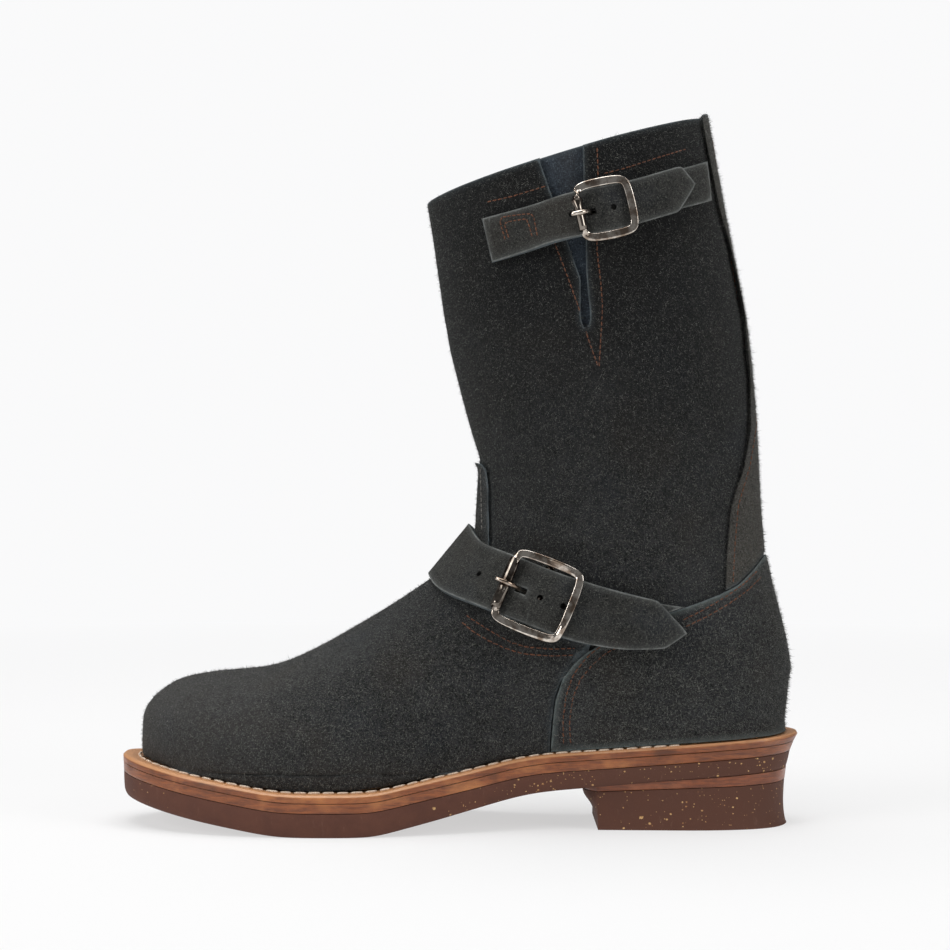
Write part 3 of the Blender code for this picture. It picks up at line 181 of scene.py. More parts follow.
def suede(name, dark, pale, fibre, pile=1.0, edge="5d666a", painted_light=0.0, skived=0.12):
    """Roughout leather: uneven dye, combed patches, single pale fibres, paler cut edges.

    Painted shade darkens the hide towards the collar, and painted light makes it paler over the
    toe. Skived hide is paler in a band along its cut edges."""
    finish = Finish(
        name, Sheen_Weight=0.22, Sheen_Roughness=0.5, Sheen_Tint=rgb("7d7e7b"),
        Specular_IOR_Level=0.1,
    )
    patches = finish.cloud(60 * MM, 4, 0.6)
    combed = finish.cloud(4.5 * MM, 4, 0.75)
    grain = finish.cloud(0.85 * MM, 3, 0.75)
    hairs = finish.cloud(0.42 * MM, 2, 0.7, (1, 1, 0.35))
    strands = finish.cloud(0.45 * MM, 2, 0.7, (0.35, 1, 1))
    dye = (patches * 0.24 + combed * 0.22 + grain * 0.54).clip(0.40, 0.60)
    colour = finish.blend(dye, rgb(dark), rgb(pale))
    cast = finish.cloud(38 * MM, 2, 0.5)
    colour = finish.blend(cast.clip(0.50, 0.72) * 0.45, colour, WARM_CAST)
    colour = finish.blend((1 - cast.clip(0.26, 0.42)) * 0.3, colour, COLD_CAST)
    fibres = hairs.clip(0.60, 0.74).most(strands.clip(0.60, 0.74))
    colour = finish.blend(fibres * 0.8, colour, rgb(fibre))
    # Painted shade towards the collar and painted light over the toe, set by height and length
    collar_shade = finish.along(2).clip(*COLLAR_SHADE_HEIGHTS)
    toe = 1 - finish.along(0).clip(*TOE_LIGHT_LENGTHS)
    colour = finish.blend(collar_shade * painted_light, colour, PAINTED_COLLAR_SHADE)
    colour = finish.blend(toe * painted_light * 0.36, colour, PAINTED_TOE_LIGHT)
    from_edge = finish.painted("edge") + (grain - 0.5) * 1.3
    broken = finish.cloud(9 * MM, 3, 0.65).clip(0.36, 0.62) * 0.7 + 0.3
    rim = (1 - from_edge.clip(0.2, 0.8)) * 0.75 * broken
    rim = rim + (1 - from_edge.clip(0.9, 3.0)) * skived
    colour = finish.blend(rim, colour, rgb(edge))
    finish.wear(Base_Color=colour, Roughness=0.86 + grain * 0.12)
    finish.relief(combed * 0.2 + grain * 0.5 + hairs * 0.4 + strands * 0.4, 0.8 * pile * MM)
    return finish.material


def nap_finish(name, dark, pale):
    """Single raised fibres, each with its own tone."""
    finish = Finish(name, Specular_IOR_Level=0.15, Sheen_Weight=0.3, Roughness=0.9)
    finish.wear(Base_Color=finish.blend(finish.painted("tone"), rgb(dark), rgb(pale)))
    return finish.material


def smooth_leather(name, dark, pale, rough):
    """Grain side leather with fine pores."""
    finish = Finish(name, Specular_IOR_Level=0.45)
    dye = finish.cloud(14 * MM, 4, 0.6).clip(0.3, 0.7)
    pores = finish.cells(0.9 * MM, "Distance")
    finish.wear(
        Base_Color=finish.blend(dye, rgb(dark), rgb(pale)),
        Roughness=rough + finish.cloud(4 * MM) * 0.2,
    )
    finish.relief(pores * 0.6 + finish.cloud(3 * MM, 4) * 0.4, 0.25 * MM)
    return finish.material


def waxed_edge(name, dark, middle, pale, layer, top):
    """Stacked leather seen on its cut edge: long fibres, wax, burnish and burn marks, and a painted
    highlight on faces that look up.
    """
    finish = Finish(name, Coat_Roughness=0.22)
    streaks = finish.cloud(5 * MM, 4, 0.7, (0.35, 0.35, 3.2))
    fine = finish.cloud(1.6 * MM, 3, 0.7, (0.25, 0.25, 3.0))
    blotch = finish.cloud(20 * MM, 3, 0.6, (1, 1, 1.6))
    pits = finish.cloud(0.55 * MM, 2, 0.7)
    colour = finish.blend((streaks * 0.6 + fine * 0.4).clip(0.36, 0.60), rgb(dark), rgb(middle))
    colour = finish.blend(blotch.clip(0.50, 0.70) * 0.75, colour, rgb(pale))
    colour = finish.blend((1 - blotch.clip(0.30, 0.44)) * 0.6, colour, rgb(layer))
    colour = finish.blend(pits.clip(0.60, 0.70) * 0.45, colour, rgb(layer))
    # Faces that look up are blended towards the top colour: a painted highlight
    facing = finish.add("ShaderNodeNewGeometry", {}, {}, "Normal")
    highlight_facing_up = finish.add("ShaderNodeSeparateXYZ", {}, (facing,), 2)
    colour = finish.blend((highlight_facing_up + (fine - 0.5) * 0.4).clip(0.2, 0.7) * 0.8, colour, rgb(top))
    finish.wear(
        Base_Color=colour, Roughness=0.38 + fine * 0.3,
        Coat_Weight=0.15 + blotch.clip(0.4, 0.65) * 0.35,
    )
    finish.relief(streaks * 0.4 + fine * 0.3 + pits * 0.3, 0.3 * MM)
    return finish.material


# Sizes of the cork crumbs: cell in mm, reach of a crumb in its cell, how many a crowd draws
CRUMBS = ((0.9, 0.26, 0.13), (1.7, 0.26, 0.17), (3.6, 0.19, 0.12))


def cork_crumbs(finish, crowd):
    """Mask of ragged crumbs, more of them where they crowd."""
    stretch = (1, 1, 1.25)
    crumbs = 0
    for cell, reach, draw in CRUMBS:
        near = finish.cells(cell * MM, "Distance", stretch)
        own = finish.cells(cell * MM, "Color", stretch)
        picked = finish.add("ShaderNodeSeparateColor", {}, (own,), 0)
        picked = (picked + crowd * draw).clip(1.0, 1.02)
        size = finish.add("ShaderNodeSeparateColor", {}, (own,), 1) * 0.7 + 0.5
        ragged = near + (finish.cloud(0.4 * MM, 3, 0.75) - 0.5) * 0.5
        crumb = (1 - (ragged / (size * reach)).clip(0.85, 1.1)) * picked
        crumbs = crumb.most(crumbs)
    return crumbs


def cork_rubber(name):
    """Brown rubber with crumbs of cork: many at the heel and waist, a few round the toe."""
    finish = Finish(name, Specular_IOR_Level=0.3)
    base = finish.cloud(12 * MM, 4, 0.6)
    along = finish.along(0)
    colour = finish.blend(base.clip(0.3, 0.7), rgb("513025"), rgb("5f3b2e"))
    colour = finish.blend(along.clip(0.0, 0.075) * 0.8, colour, rgb("55362a"))
    toe = 1 - along.clip(-0.140, -0.118)
    crowd = along.clip(-0.02, 0.03) * 0.55 + toe * 0.2
    crowd = crowd + finish.cloud(15 * MM, 2).clip(0.40, 0.62) * 0.45 * crowd.clip(0, 0.2)
    crumbs = cork_crumbs(finish, crowd)
    gold = finish.blend(finish.cloud(2.5 * MM).clip(0.35, 0.65), rgb("9a6a42"), rgb("e3bb80"))
    colour = finish.blend(crumbs * 0.92, colour, gold)
    scuffs = finish.cloud(2.2 * MM, 4, 0.75, (1, 1, 0.3)).clip(0.60, 0.78)
    colour = finish.blend(scuffs * 0.25, colour, rgb("8a6a5c"))
    finish.wear(Base_Color=colour, Roughness=0.58 + base * 0.25)
    finish.relief(finish.cloud(0.8 * MM, 3) + crumbs * 0.5, 0.12 * MM)
    return finish.material


def thread_finish(name, colour, pale):
    """Waxed thread with the turns of its twist."""
    finish = Finish(name, Specular_IOR_Level=0.3)
    twist = finish.cloud(0.5 * MM, 2)
    finish.wear(
        Base_Color=finish.blend(twist.clip(0.35, 0.65), rgb(colour), rgb(pale)),
        Roughness=0.6 + twist * 0.3,
    )
    finish.relief(twist, 0.15 * MM)
    return finish.material


def plated(name, bright, reflected_dark):
    """Polished nickel, its colour clouded darker by painted reflections, with rubbed bright places.
    """
    finish = Finish(name, Metallic=1.0)
    # A cloud blends the bright nickel towards a dark brown tint: painted reflections
    painted_reflections = finish.cloud(7 * MM, 3, 0.6)
    rubbed = finish.cloud(1.6 * MM, 3, 0.7)
    finish.wear(
        Base_Color=finish.blend(painted_reflections.clip(0.40, 0.60), rgb(bright), rgb(reflected_dark)),
        Roughness=0.07 + rubbed.clip(0.5, 0.8) * 0.16,
    )
    return finish.material


# The charcoal and counter hides carry painted shade towards the collar and painted light over the
# toe
CHARCOAL = suede("roughout_charcoal", "101112", "3c3d3e", "7d7d76", 1.3, painted_light=0.8)
COUNTER_HIDE = suede(
    "roughout_counter", "101112", "3c3d3e", "85857e", 1.5, "626a69", painted_light=0.4, skived=0.5
)
STAY_HIDE = suede("roughout_stay", "1d1d1d", "504d48", "8a877e", 1.5)
STRAP = suede("roughout_strap", "191a1a", "3b3b39", "65655f", 0.8, "7a7d7b")
CUT_EDGE = suede("roughout_cut_edge", "35393b", "565b5d", "7d8182", 0.7)
GUSSET = suede("gusset_blue_grey", "20252b", "3a424b", "626c73", 0.6)
LINING = smooth_leather("lining_grain", "242322", "3a3835", 0.45)
# The last colour of each edge is its painted highlight on faces that look up
WELT = waxed_edge("welt_edge", "5c2c13", "935125", "b97438", "42210f", "c48f62")
LIFT = waxed_edge("heel_lift_edge", "5a2d17", "8c4a25", "a66034", "41231a", "a8764e")
RUBBER = cork_rubber("cork_rubber")
INSOLE = smooth_leather("insole_leather", "8c6c48", "b08c62", 0.6)
RUST = thread_finish("rust_thread", "38241a", "80523b")
PALE = thread_finish("pale_thread", "55534f", "8a8781")
CREAM = thread_finish("cream_thread", "b89f8a", "ead9c6")
# The nickel's colour is clouded darker by painted reflections
NICKEL = plated("polished_nickel", "e6ded4", "8a7a6c")
# The roller's nickel is darker throughout: a painted reflection of the dark strap
ROLLER_DARK_REFLECTION = plated("nickel_roller_painted_dark_reflection", "8d857c", "3a322c")
NAP = nap_finish("charcoal_nap", "191a1a", "8c8d86")
STRAP_NAP = nap_finish("strap_nap", "222322", "82837d")


# Shapes over the solids

MERGED = 0.01 * MM
# A patch of faces narrower than this is a cut edge, or the wall of a hole up to this wide
NARROW = 1.7 * MM
HOLE = 5 * MM
# How far a cut edge is felt in its piece's finish
FURTHEST = 8 * MM


def only(thing):
    bpy.ops.object.select_all(action="DESELECT")
    thing.select_set(True)
    bpy.context.view_layer.objects.active = thing


@contextmanager
def editing():
    """Edit mode on the active piece, with all of it selected."""
    bpy.ops.object.mode_set(mode="EDIT")
    bpy.ops.mesh.select_all(action="SELECT")
    yield
    bpy.ops.object.mode_set(mode="OBJECT")


def new_object(name, data):
    thing = bpy.data.objects.new(name, data)
    bpy.context.scene.collection.objects.link(thing)
    return thing


def spots_of(thing):
    """All points of a piece as one array."""
    values = np.empty(len(thing.data.vertices) * 3, np.float32)
    thing.data.vertices.foreach_get("co", values)
    return values.reshape(-1, 3).astype(float)


def normals_of(thing):
    values = np.empty(len(thing.data.vertices) * 3, np.float32)
    thing.data.vertex_normals.foreach_get("vector", values)
    return values.reshape(-1, 3).astype(float)


def move_to(thing, spots):
    thing.data.vertices.foreach_set("co", np.asarray(spots, np.float32).ravel())
    thing.data.update()


def within(thing, x=(-1, 1), z=(-1, 1)):
    """Which points of a piece lie between these limits, in metres."""
    along, _, up = spots_of(thing).T
    return (along > x[0]) & (along < x[1]) & (up > z[0]) & (up < z[1])


def faces_with(thing, slot):
    """Points of each face that has this finish."""
    return [face.vertices[:] for face in thing.data.polygons if face.material_index == slot]


def points_with(thing, slot):
    return {i for face in faces_with(thing, slot) for i in face}


def tree_of(*things):
    points, faces = [], []
    for thing in things:
        start = len(points)
        points += [vertex.co.copy() for vertex in thing.data.vertices]
        faces += [[start + i for i in face.vertices] for face in thing.data.polygons]
    return BVHTree.FromPolygons(points, faces)


def patches_of(bm, hard):
    """Faces grouped where no hard edge parts them."""
    seen, groups = set(), []
    for start in bm.faces:
        if start in seen:
            continue
        seen.add(start)
        group, waiting = [], [start]
        while waiting:
            face = waiting.pop()
            group.append(face)
            for edge in face.edges:
                if edge in hard or len(edge.link_faces) != 2:
                    continue
                for other in edge.link_faces:
                    if other not in seen:
                        seen.add(other)
                        waiting.append(other)
        groups.append(group)
    return groups


def slot_of(group):
    """Second finish on narrow cut edges, third on walls of holes and on faces that look inwards."""
    inside = set(group)
    rim = {e for f in group for e in f.edges if any(o not in inside for o in e.link_faces)}
    area = sum(face.calc_area() for face in group)
    border = sum(edge.calc_length() for edge in rim)
    if border and area / border < NARROW:
        spots = np.array([vertex.co[:] for face in group for vertex in face.verts])
        return CUT if np.ptp(spots, axis=0).max() > HOLE else INNER
    height = sum(face.calc_center_median().z * face.calc_area() for face in group) / area
    axis = SHAFT_AXIS + Vector((0, 0, height))
    out = sum(f.normal.dot(f.calc_center_median() - axis) * f.calc_area() for f in group)
    return OUTER if out > 0 else INNER


def sort_and_crease(thing, sharp, soft, outer):
    """Gives each face its finish's slot and creases the hard edges."""
    bm = bmesh.new()
    bm.from_mesh(thing.data)
    crease = bm.edges.layers.float.new("crease_edge")
    hard = set()
    for edge in bm.edges:
        if len(edge.link_faces) == 2 and edge.calc_face_angle() > math.radians(sharp):
            middle = (edge.verts[0].co + edge.verts[1].co) / 2
            lean = edge.link_faces[0].normal + edge.link_faces[1].normal
            if not (soft and soft(middle, lean)):
                hard.add(edge)
                edge[crease] = 1
    three = len(thing.data.materials) == 3
    for group in patches_of(bm, hard):
        slot = slot_of(group) if three else OUTER
        for face in group:
            face.material_index = OUTER if outer and outer(face) else slot
    bm.to_mesh(thing.data)
    bm.free()


def paint_edges(thing):
    """Each point's distance in mm from the nearest cut edge."""
    faces = faces_with(thing, CUT)
    spots = spots_of(thing)
    away = np.full(len(spots), FURTHEST / MM, np.float32)
    if faces:
        rim = BVHTree.FromPolygons([Vector(spot) for spot in spots], faces)
        for i, spot in enumerate(spots):
            gap = rim.find_nearest(Vector(spot), FURTHEST)[3]
            if gap is not None:
                away[i] = gap / MM
    thing.data.attributes.new("edge", "FLOAT", "POINT").data.foreach_set("value", away)


def dressed(node, name, finishes, sharp=38, soft=None, shape=None, outer=None, join=0.6):
    """A merged, subdivided copy of a CAD node, its cut edges and inner faces finished apart.

    Edges bent by more than sharp degrees stay hard, unless soft says otherwise. shape works on
    the merged copy, outer names faces that get the first finish, and join says how far two
    triangles may be bent and still become one face."""
    thing = new_object(name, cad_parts[node].data.copy())
    thing.data.materials.clear()
    for finish in finishes:
        thing.data.materials.append(finish)
    only(thing)
    with editing():
        bpy.ops.mesh.remove_doubles(threshold=MERGED)
    if shape:
        shape(thing)
    with editing():
        bpy.ops.mesh.tris_convert_to_quads(face_threshold=join, shape_threshold=1.2)
    sort_and_crease(thing, sharp, soft, outer)
    surface = thing.modifiers.new("surface", "SUBSURF")
    surface.levels = surface.render_levels = 2
    bpy.ops.object.modifier_apply(modifier="surface")
    bpy.ops.object.shade_smooth_by_angle(angle=math.radians(40))
    if len(finishes) == 3:
        paint_edges(thing)
    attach(thing, "root")
    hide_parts(node)
    return thing


# Forms of the hide

# Heights at the foot of the vamp's wall, where its overlay ends in a ledge above the welt
WELT_TOP = 0.0165
LEDGE = 0.0259
BELOW_WALL = 0.0262
WALL_FOOT = 0.0285
FOOT_TOP = 0.031
LEDGE_WIDTH = 0.9 * MM
# How far back the ledge runs, and how far back the vamp's lowest faces are outer ones
LEDGE_BACK = 0.004
FOOT_BACK = 0.03
# The counter's fold under the heel: from here back, between these heights
HEEL_FOLD_FRONT = 0.116
HEEL_FOLD_HEIGHTS = (0.0415, 0.064)


def outwards(spot):
    """Level direction away from the foot's middle line."""
    x, y = TOE_CENTRE
    return Vector((min(0.0, spot.x - x), spot.y - y, 0)).normalized()


def drawn_down(thing):
    """Carries the vamp's wall down to the welt, where the overlay stops short of it."""
    bm = bmesh.new()
    bm.from_mesh(thing.data)
    bm.normal_update()
    wall = BVHTree.FromBMesh(bm)
    moved = []
    for vertex in bm.verts:
        x, y, z = vertex.co
        if z > BELOW_WALL or z < WELT_TOP or x > LEDGE_BACK:
            continue
        out = outwards(vertex.co)
        on_ledge = abs(z - LEDGE) < 0.2 * MM
        if vertex.normal.dot(out) < (-0.6 if on_ledge else 0.05):
            continue
        spot = wall.ray_cast(Vector((x, y, WALL_FOOT)) + out * 0.05, -out)[0]
        if spot is None:
            continue
        if on_ledge and (spot - vertex.co).dot(out) > LEDGE_WIDTH:
            z -= LEDGE_WIDTH
        tuck = 0.08 * ((WALL_FOOT - z) / MM) ** 1.25 * MM
        moved.append((vertex, Vector((spot.x, spot.y, z)) - out * tuck))
    for vertex, spot in moved:
        vertex.co = spot
    bm.to_mesh(thing.data)
    bm.free()


def at_vamp_foot(spot, lean):
    """Outer corners low on the vamp, which the hide rounds."""
    return 0.022 < spot.z < 0.03 and spot.x < 0.02 and lean.dot(outwards(spot)) > 0.3


def at_heel_fold(spot, lean):
    """The small fold where the counter turns in under the heel."""
    low, high = HEEL_FOLD_HEIGHTS
    return spot.x > HEEL_FOLD_FRONT and low < spot.z < high


def on_vamp_foot(face):
    """The vamp's lowest outer faces, and the ledge that is drawn flat there."""
    spot = face.calc_center_median()
    if spot.z > FOOT_TOP or spot.x > FOOT_BACK:
        return False
    flat = all(LEDGE - 1.2 * MM < vertex.co.z < LEDGE + 0.2 * MM for vertex in face.verts)
    return flat or face.normal.dot(outwards(spot)) > -0.2


def on_stay_edge(face):
    """The stay's cut front edges, which run straight across the boot."""
    aside = abs(face.calc_center_median().y - SHAFT_AXIS.y)
    return abs(face.normal.y) < 0.03 and face.normal.x < -0.5 and aside > 4 * MM


def relax(thing, picked, times):
    """Smooths the picked points, but not those of the cut edges."""
    rim = points_with(thing, CUT)
    bm = bmesh.new()
    bm.from_mesh(thing.data)
    bm.verts.ensure_lookup_table()
    chosen = [bm.verts[i] for i in np.nonzero(picked)[0] if i not in rim]
    for _ in range(times):
        bmesh.ops.smooth_vert(
            bm, verts=chosen, factor=0.5, use_axis_x=True, use_axis_y=True, use_axis_z=True
        )
    bm.to_mesh(thing.data)
    bm.free()


def slack(thing, size, depth):
    """Soft unevenness of hide that isn't stretched tight."""
    spots = spots_of(thing)
    waves = []
    for spot in spots / size:
        spot = Vector(spot)
        waves.append(noise.noise(spot) + 0.5 * noise.noise(spot * 2.3))
    above_welt = np.clip((spots[:, 2] - 0.045) / 0.02, 0, 1)
    move_to(thing, spots + normals_of(thing) * (np.array(waves) * above_welt * depth)[:, None])


def pressed(thing, line, width, depth):
    """A trough along a line on the surface, deepest in its middle, with soft banks."""
    spots = spots_of(thing)
    low, high = line.min(axis=0) - 4 * width, line.max(axis=0) + 4 * width
    inside = np.nonzero(((spots > low) & (spots < high)).all(axis=1))[0]
    near = np.full(len(inside), np.inf)
    for start, end in zip(line[:-1], line[1:]):
        run = end - start
        share = np.clip(((spots[inside] - start) @ run) / max(run @ run, 1e-12), 0, 1)
        away = np.linalg.norm(spots[inside] - start - share[:, None] * run, axis=1)
        near = np.minimum(near, away)
    trough = -depth * np.exp(-((near / width) ** 2))
    bank = 0.45 * depth * np.exp(-(((near - 1.9 * width) / width) ** 2))
    spots[inside] += normals_of(thing)[inside] * (trough + bank)[:, None]
    move_to(thing, spots)


def seated(thing, tree):
    """Brings a covering piece's inner face down onto what it is sewn to, with no gap."""
    spots = spots_of(thing)
    for i in points_with(thing, INNER):
        spot, normal, _, _ = tree.find_nearest(Vector(spots[i]), 2 * MM)
        if spot is not None:
            spots[i] = spot + normal * 0.05 * MM
    move_to(thing, spots)


def rough_fold(thing, above, size, depth):
    """Lumpy hide where it is folded over, on what stands above this height."""
    spots = spots_of(thing)
    lumps = np.array([noise.noise(Vector(spot)) for spot in spots / size])
    share = np.clip((spots[:, 2] - above) / (6 * MM), 0, 1)
    move_to(thing, spots + normals_of(thing) * (lumps * share * depth)[:, None])


def slid_under(thing, low, high, by):
    """Slides the cut edge that the photograph shows between two pixels back under the counter."""
    spots = spots_of(thing)
    for i in points_with(thing, CUT):
        side = 1 if spots[i][1] < MIDDLE_PLANE else -1
        px, py = pixel_of(spots[i], side)
        if low[0] < px < high[0] and low[1] < py < high[1]:
            share = min(1.0, (high[1] - py) / 10)
            spots[i] += np.array([by, side * 0.4 * MM, 0]) * share
    move_to(thing, spots)


def flattened(metal, tree, top, out, inner):
    """Turns a round bar of the buckle into a flat topped one, broader in its plane.

    The lengths say how far its top goes down, its outline out and its opening's edge inwards."""
    spots = spots_of(metal)
    centre = spots.mean(axis=0)
    round_above = 0.45
    for i, (spot, normal) in enumerate(zip(spots, normals_of(metal))):
        up = np.array(tree.find_nearest(Vector(spot))[1])
        rise = normal @ up
        flat = normal - up * rise
        spots[i] += flat * (out if flat @ (spot - centre) > 0 else inner)
        if rise > round_above:
            spots[i] -= up * top * (rise - round_above)
    move_to(metal, spots)


# Lines that the photograph shows


def pixel_of(spot, side=1):
    """Where the photograph shows a spot; side -1 looks from the inner side."""
    x, y, z = spot
    depth = y - EYE.y if side == 1 else 2 * MIDDLE_PLANE - EYE.y - y
    return MIDDLE + FOCAL * (x - EYE.x) / depth, MIDDLE - FOCAL * (z - EYE.z) / depth


def hit(tree, px, py, side=1):
    """Spot and normal that the photograph's pixel shows; side -1 looks from the inner side."""
    eye = Vector((EYE.x, EYE.y if side == 1 else 2 * MIDDLE_PLANE - EYE.y, EYE.z))
    ray = Vector(((px - MIDDLE) / FOCAL, side, (MIDDLE - py) / FOCAL)).normalized()
    return tree.ray_cast(eye, ray)[:2]


def rounded_at(pixels, reach=4):
    """Says whether an edge is a corner of a strap's outline that the photograph shows there."""

    def soft(spot, lean):
        px, py = pixel_of(spot)
        near = any(math.hypot(px - x, py - y) < reach for x, y in pixels)
        return near and abs(lean.normalized().y) < 0.4

    return soft


def even(pitch, line, *carried):
    """Points a pitch apart along a line, and what is carried at them."""
    run = np.concatenate([[0], np.cumsum(np.linalg.norm(np.diff(line, axis=0), axis=1))])
    count = max(2, int(round(run[-1] / pitch)))
    marks = np.linspace(0, run[-1], count + 1)
    found = []
    for values in (line, *carried):
        found.append(np.stack([np.interp(marks, run, column) for column in values.T], axis=1))
    return found


def surface_line(tree, points, side=1):
    """Line on the surface under the photograph's line: spots and normals."""
    pixels = even(3, np.array(points, float))[0]
    found = [hit(tree, *pixel, side) for pixel in pixels]
    found = [(spot[:], normal[:]) for spot, normal in found if spot is not None]
    return np.array([spot for spot, _ in found]), np.array([normal for _, normal in found])


# Stitches and nap


def fitted(name, mesh, finish):
    """A piece of its own on the boot, made of this mesh."""
    mesh.materials.append(finish)
    thing = new_object(name, mesh)
    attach(thing, "root")


def bead():
    """One stitch: a rounded bar a unit long, made once."""
    bpy.ops.object.select_all(action="DESELECT")
    bpy.ops.mesh.primitive_uv_sphere_add(segments=8, ring_count=6, radius=0.5)
    ball = bpy.context.object
    with editing():
        bpy.ops.transform.rotate(value=math.pi / 2, orient_axis="Y", center_override=(0, 0, 0))
    points = np.array([vertex.co[:] for vertex in ball.data.vertices])
    faces = [tuple(face.vertices) for face in ball.data.polygons]
    bpy.data.objects.remove(ball)
    points[:, 0] = np.sign(points[:, 0]) * 0.5 * (np.abs(points[:, 0]) * 2) ** 0.6
    return points, faces


BEAD = bead()


def sewn(name, lines, finish, pitch, width, share=0.8, slant=0.0, raised=0.25):
    """Rows of stitches along lines of spots and normals, each a little uneven."""
    chance = np.random.default_rng(len(name))
    points, faces, base = [], [], 0
    stitch, sides = BEAD
    for spots, normals in lines:
        line, out = even(pitch, spots, normals)
        out /= np.linalg.norm(out, axis=1, keepdims=True)
        for start, end, normal in zip(line[:-1], line[1:], out[:-1]):
            reach = np.linalg.norm(end - start)
            along = (end - start) / reach
            turn = slant + chance.normal(0, 0.07)
            along = along * math.cos(turn) + np.cross(normal, along) * math.sin(turn)
            across = np.cross(normal, along)
            middle = (start + end) / 2 + normal * width * raised
            size = np.array([reach * share, width, width * 0.8]) * chance.uniform(0.88, 1.1, 3)
            points.append(middle + (stitch * size) @ np.stack([along, across, normal]))
            faces += [tuple(base + i for i in face) for face in sides]
            base += len(stitch)
    mesh = bpy.data.meshes.new(name)
    mesh.from_pydata(np.concatenate(points).tolist(), [], faces)
    mesh.shade_smooth()
    fitted(name, mesh, finish)


def scattered(thing, slots, dense, chance):
    """Random spots on a piece's faces with these finishes, and the normals there."""
    mesh = thing.data
    mesh.calc_loop_triangles()
    spots, normals = spots_of(thing), normals_of(thing)
    corners = np.empty(len(mesh.loop_triangles) * 3, np.int32)
    mesh.loop_triangles.foreach_get("vertices", corners)
    finishes = np.empty(len(mesh.loop_triangles), np.int32)
    mesh.loop_triangles.foreach_get("material_index", finishes)
    corners = corners.reshape(-1, 3)[np.isin(finishes, slots)]
    a, b, c = spots[corners[:, 0]], spots[corners[:, 1]], spots[corners[:, 2]]
    areas = np.linalg.norm(np.cross(b - a, c - a), axis=1) / 2
    count = int(areas.sum() / MM**2 * dense)
    chosen = corners[chance.choice(len(corners), count, p=areas / areas.sum())]
    u, v = chance.random(count), chance.random(count)
    over = u + v > 1
    u[over], v[over] = 1 - u[over], 1 - v[over]
    weights = np.stack([1 - u - v, u, v], axis=1)[:, :, None]
    out = (normals[chosen] * weights).sum(axis=1)
    out /= np.linalg.norm(out, axis=1, keepdims=True)
    return (spots[chosen] * weights).sum(axis=1), out


def napped(name, thing, finish, dense, length, lift, seed, slots=(OUTER,)):
    """Raised fibres on a piece, dense to the square millimetre, as one mesh of slim triangles.

    They lie mostly downwards and rise by lift, in degrees."""
    chance = np.random.default_rng(seed)
    root, out = scattered(thing, slots, dense, chance)
    count = len(root)
    lie = chance.normal(size=(count, 3)) + np.array([0.1, 0, -0.5])
    lie -= out * (lie * out).sum(axis=1, keepdims=True)
    lie /= np.linalg.norm(lie, axis=1, keepdims=True)
    low, high = lift
    rise = np.radians(low + (high - low) * chance.random(count) ** 1.6)[:, None]
    long = length * chance.lognormal(0, 0.38, count)[:, None]
    tip = root + long * (np.cos(rise) * lie + np.sin(rise) * out)
    side = np.cross(out, lie) * (chance.uniform(0.05, 0.10, count) * MM)[:, None]
    root = root - out * 0.04 * MM
    points = np.stack([root - side, root + side, tip], axis=1).reshape(-1, 3)
    mesh = bpy.data.meshes.new(name)
    mesh.from_pydata(points.tolist(), [], np.arange(len(points)).reshape(-1, 3).tolist())
    tones = np.repeat(chance.beta(1.1, 3.6, count), 3).astype(np.float32)
    mesh.attributes.new("tone", "FLOAT", "POINT").data.foreach_set("value", tones)
    fitted(name, mesh, finish)


# The boot's pieces

HIDE = (CHARCOAL, CUT_EDGE, LINING)
BAND = (STRAP, CUT_EDGE, STRAP)
# Corners of the strap tips that are round in the photograph, in its pixels
INSTEP_SHOULDERS = ((656.3, 600.4), (663, 648.6))
TOP_SHOULDERS = ((681, 166.7), (679, 210.2))

upper = dressed(
    "upper", "upper_roughout", HIDE, shape=drawn_down, soft=at_vamp_foot, outer=on_vamp_foot
)
counter = dressed(
    "heel_counter", "heel_counter_roughout", (COUNTER_HIDE, CUT_EDGE, LINING), soft=at_heel_fold
)
stay = dressed(
    "back_stay", "back_stay_roughout", (STAY_HIDE, CUT_EDGE, LINING), outer=on_stay_edge, join=0.2
)
dressed("gusset", "gusset_leather_panel", (GUSSET, CUT_EDGE, LINING))
instep_strap = dressed(
    "instep_strap", "instep_strap_leather", BAND, soft=rounded_at(INSTEP_SHOULDERS)
)
top_strap = dressed("top_strap", "top_strap_leather", BAND, soft=rounded_at(TOP_SHOULDERS))
instep_short = dressed("instep_buckle_strap", "instep_short_strap", BAND)
top_short = dressed("top_buckle_strap", "top_short_strap", BAND)
dressed("outsole", "outsole_rubber", (RUBBER,))
dressed("heel_block", "heel_rubber", (RUBBER,))
dressed("heel_lift", "heel_lift_leather", (LIFT,))
dressed("midsole", "midsole_edge", (WELT,))
welt = dressed("welt", "welt_leather", (WELT,))
dressed("insole", "insole_lining", (INSOLE,))


def polished(node, name, finish, *flat):
    """A part of a buckle, its facets rounded off and then flat on top where flat says so."""
    metal = dressed(node, name, (finish,), sharp=70)
    relax(metal, np.ones(len(metal.data.vertices), bool), 5)
    if flat:
        flattened(metal, tree_of(upper), *flat)
    only(metal)
    bpy.ops.object.shade_smooth_by_angle(angle=math.radians(75))


for word in ("instep", "top"):
    node = f"{word}_buckle"
    polished(f"{node}_frame", f"{word}_frame_nickel", NICKEL, 1.0 * MM, 0.9 * MM, 0.5 * MM)
    polished(f"{node}_roller", f"{word}_roller_nickel", ROLLER_DARK_REFLECTION, 0.4 * MM, 0.6 * MM, 0.6 * MM)
    polished(f"{node}_prong", f"{word}_prong_nickel", NICKEL)

# The hide's lower edge and the counter's heel are drawn smooth over the last
relax(upper, within(upper, x=(-1, FOOT_BACK), z=(0.0245, 0.062)), 14)
low, high = HEEL_FOLD_HEIGHTS
relax(counter, within(counter, x=(0.112, 1), z=(low - 1 * MM, high + 2 * MM)), 30)
slack(upper, 45 * MM, 0.35 * MM)
hide = tree_of(upper)

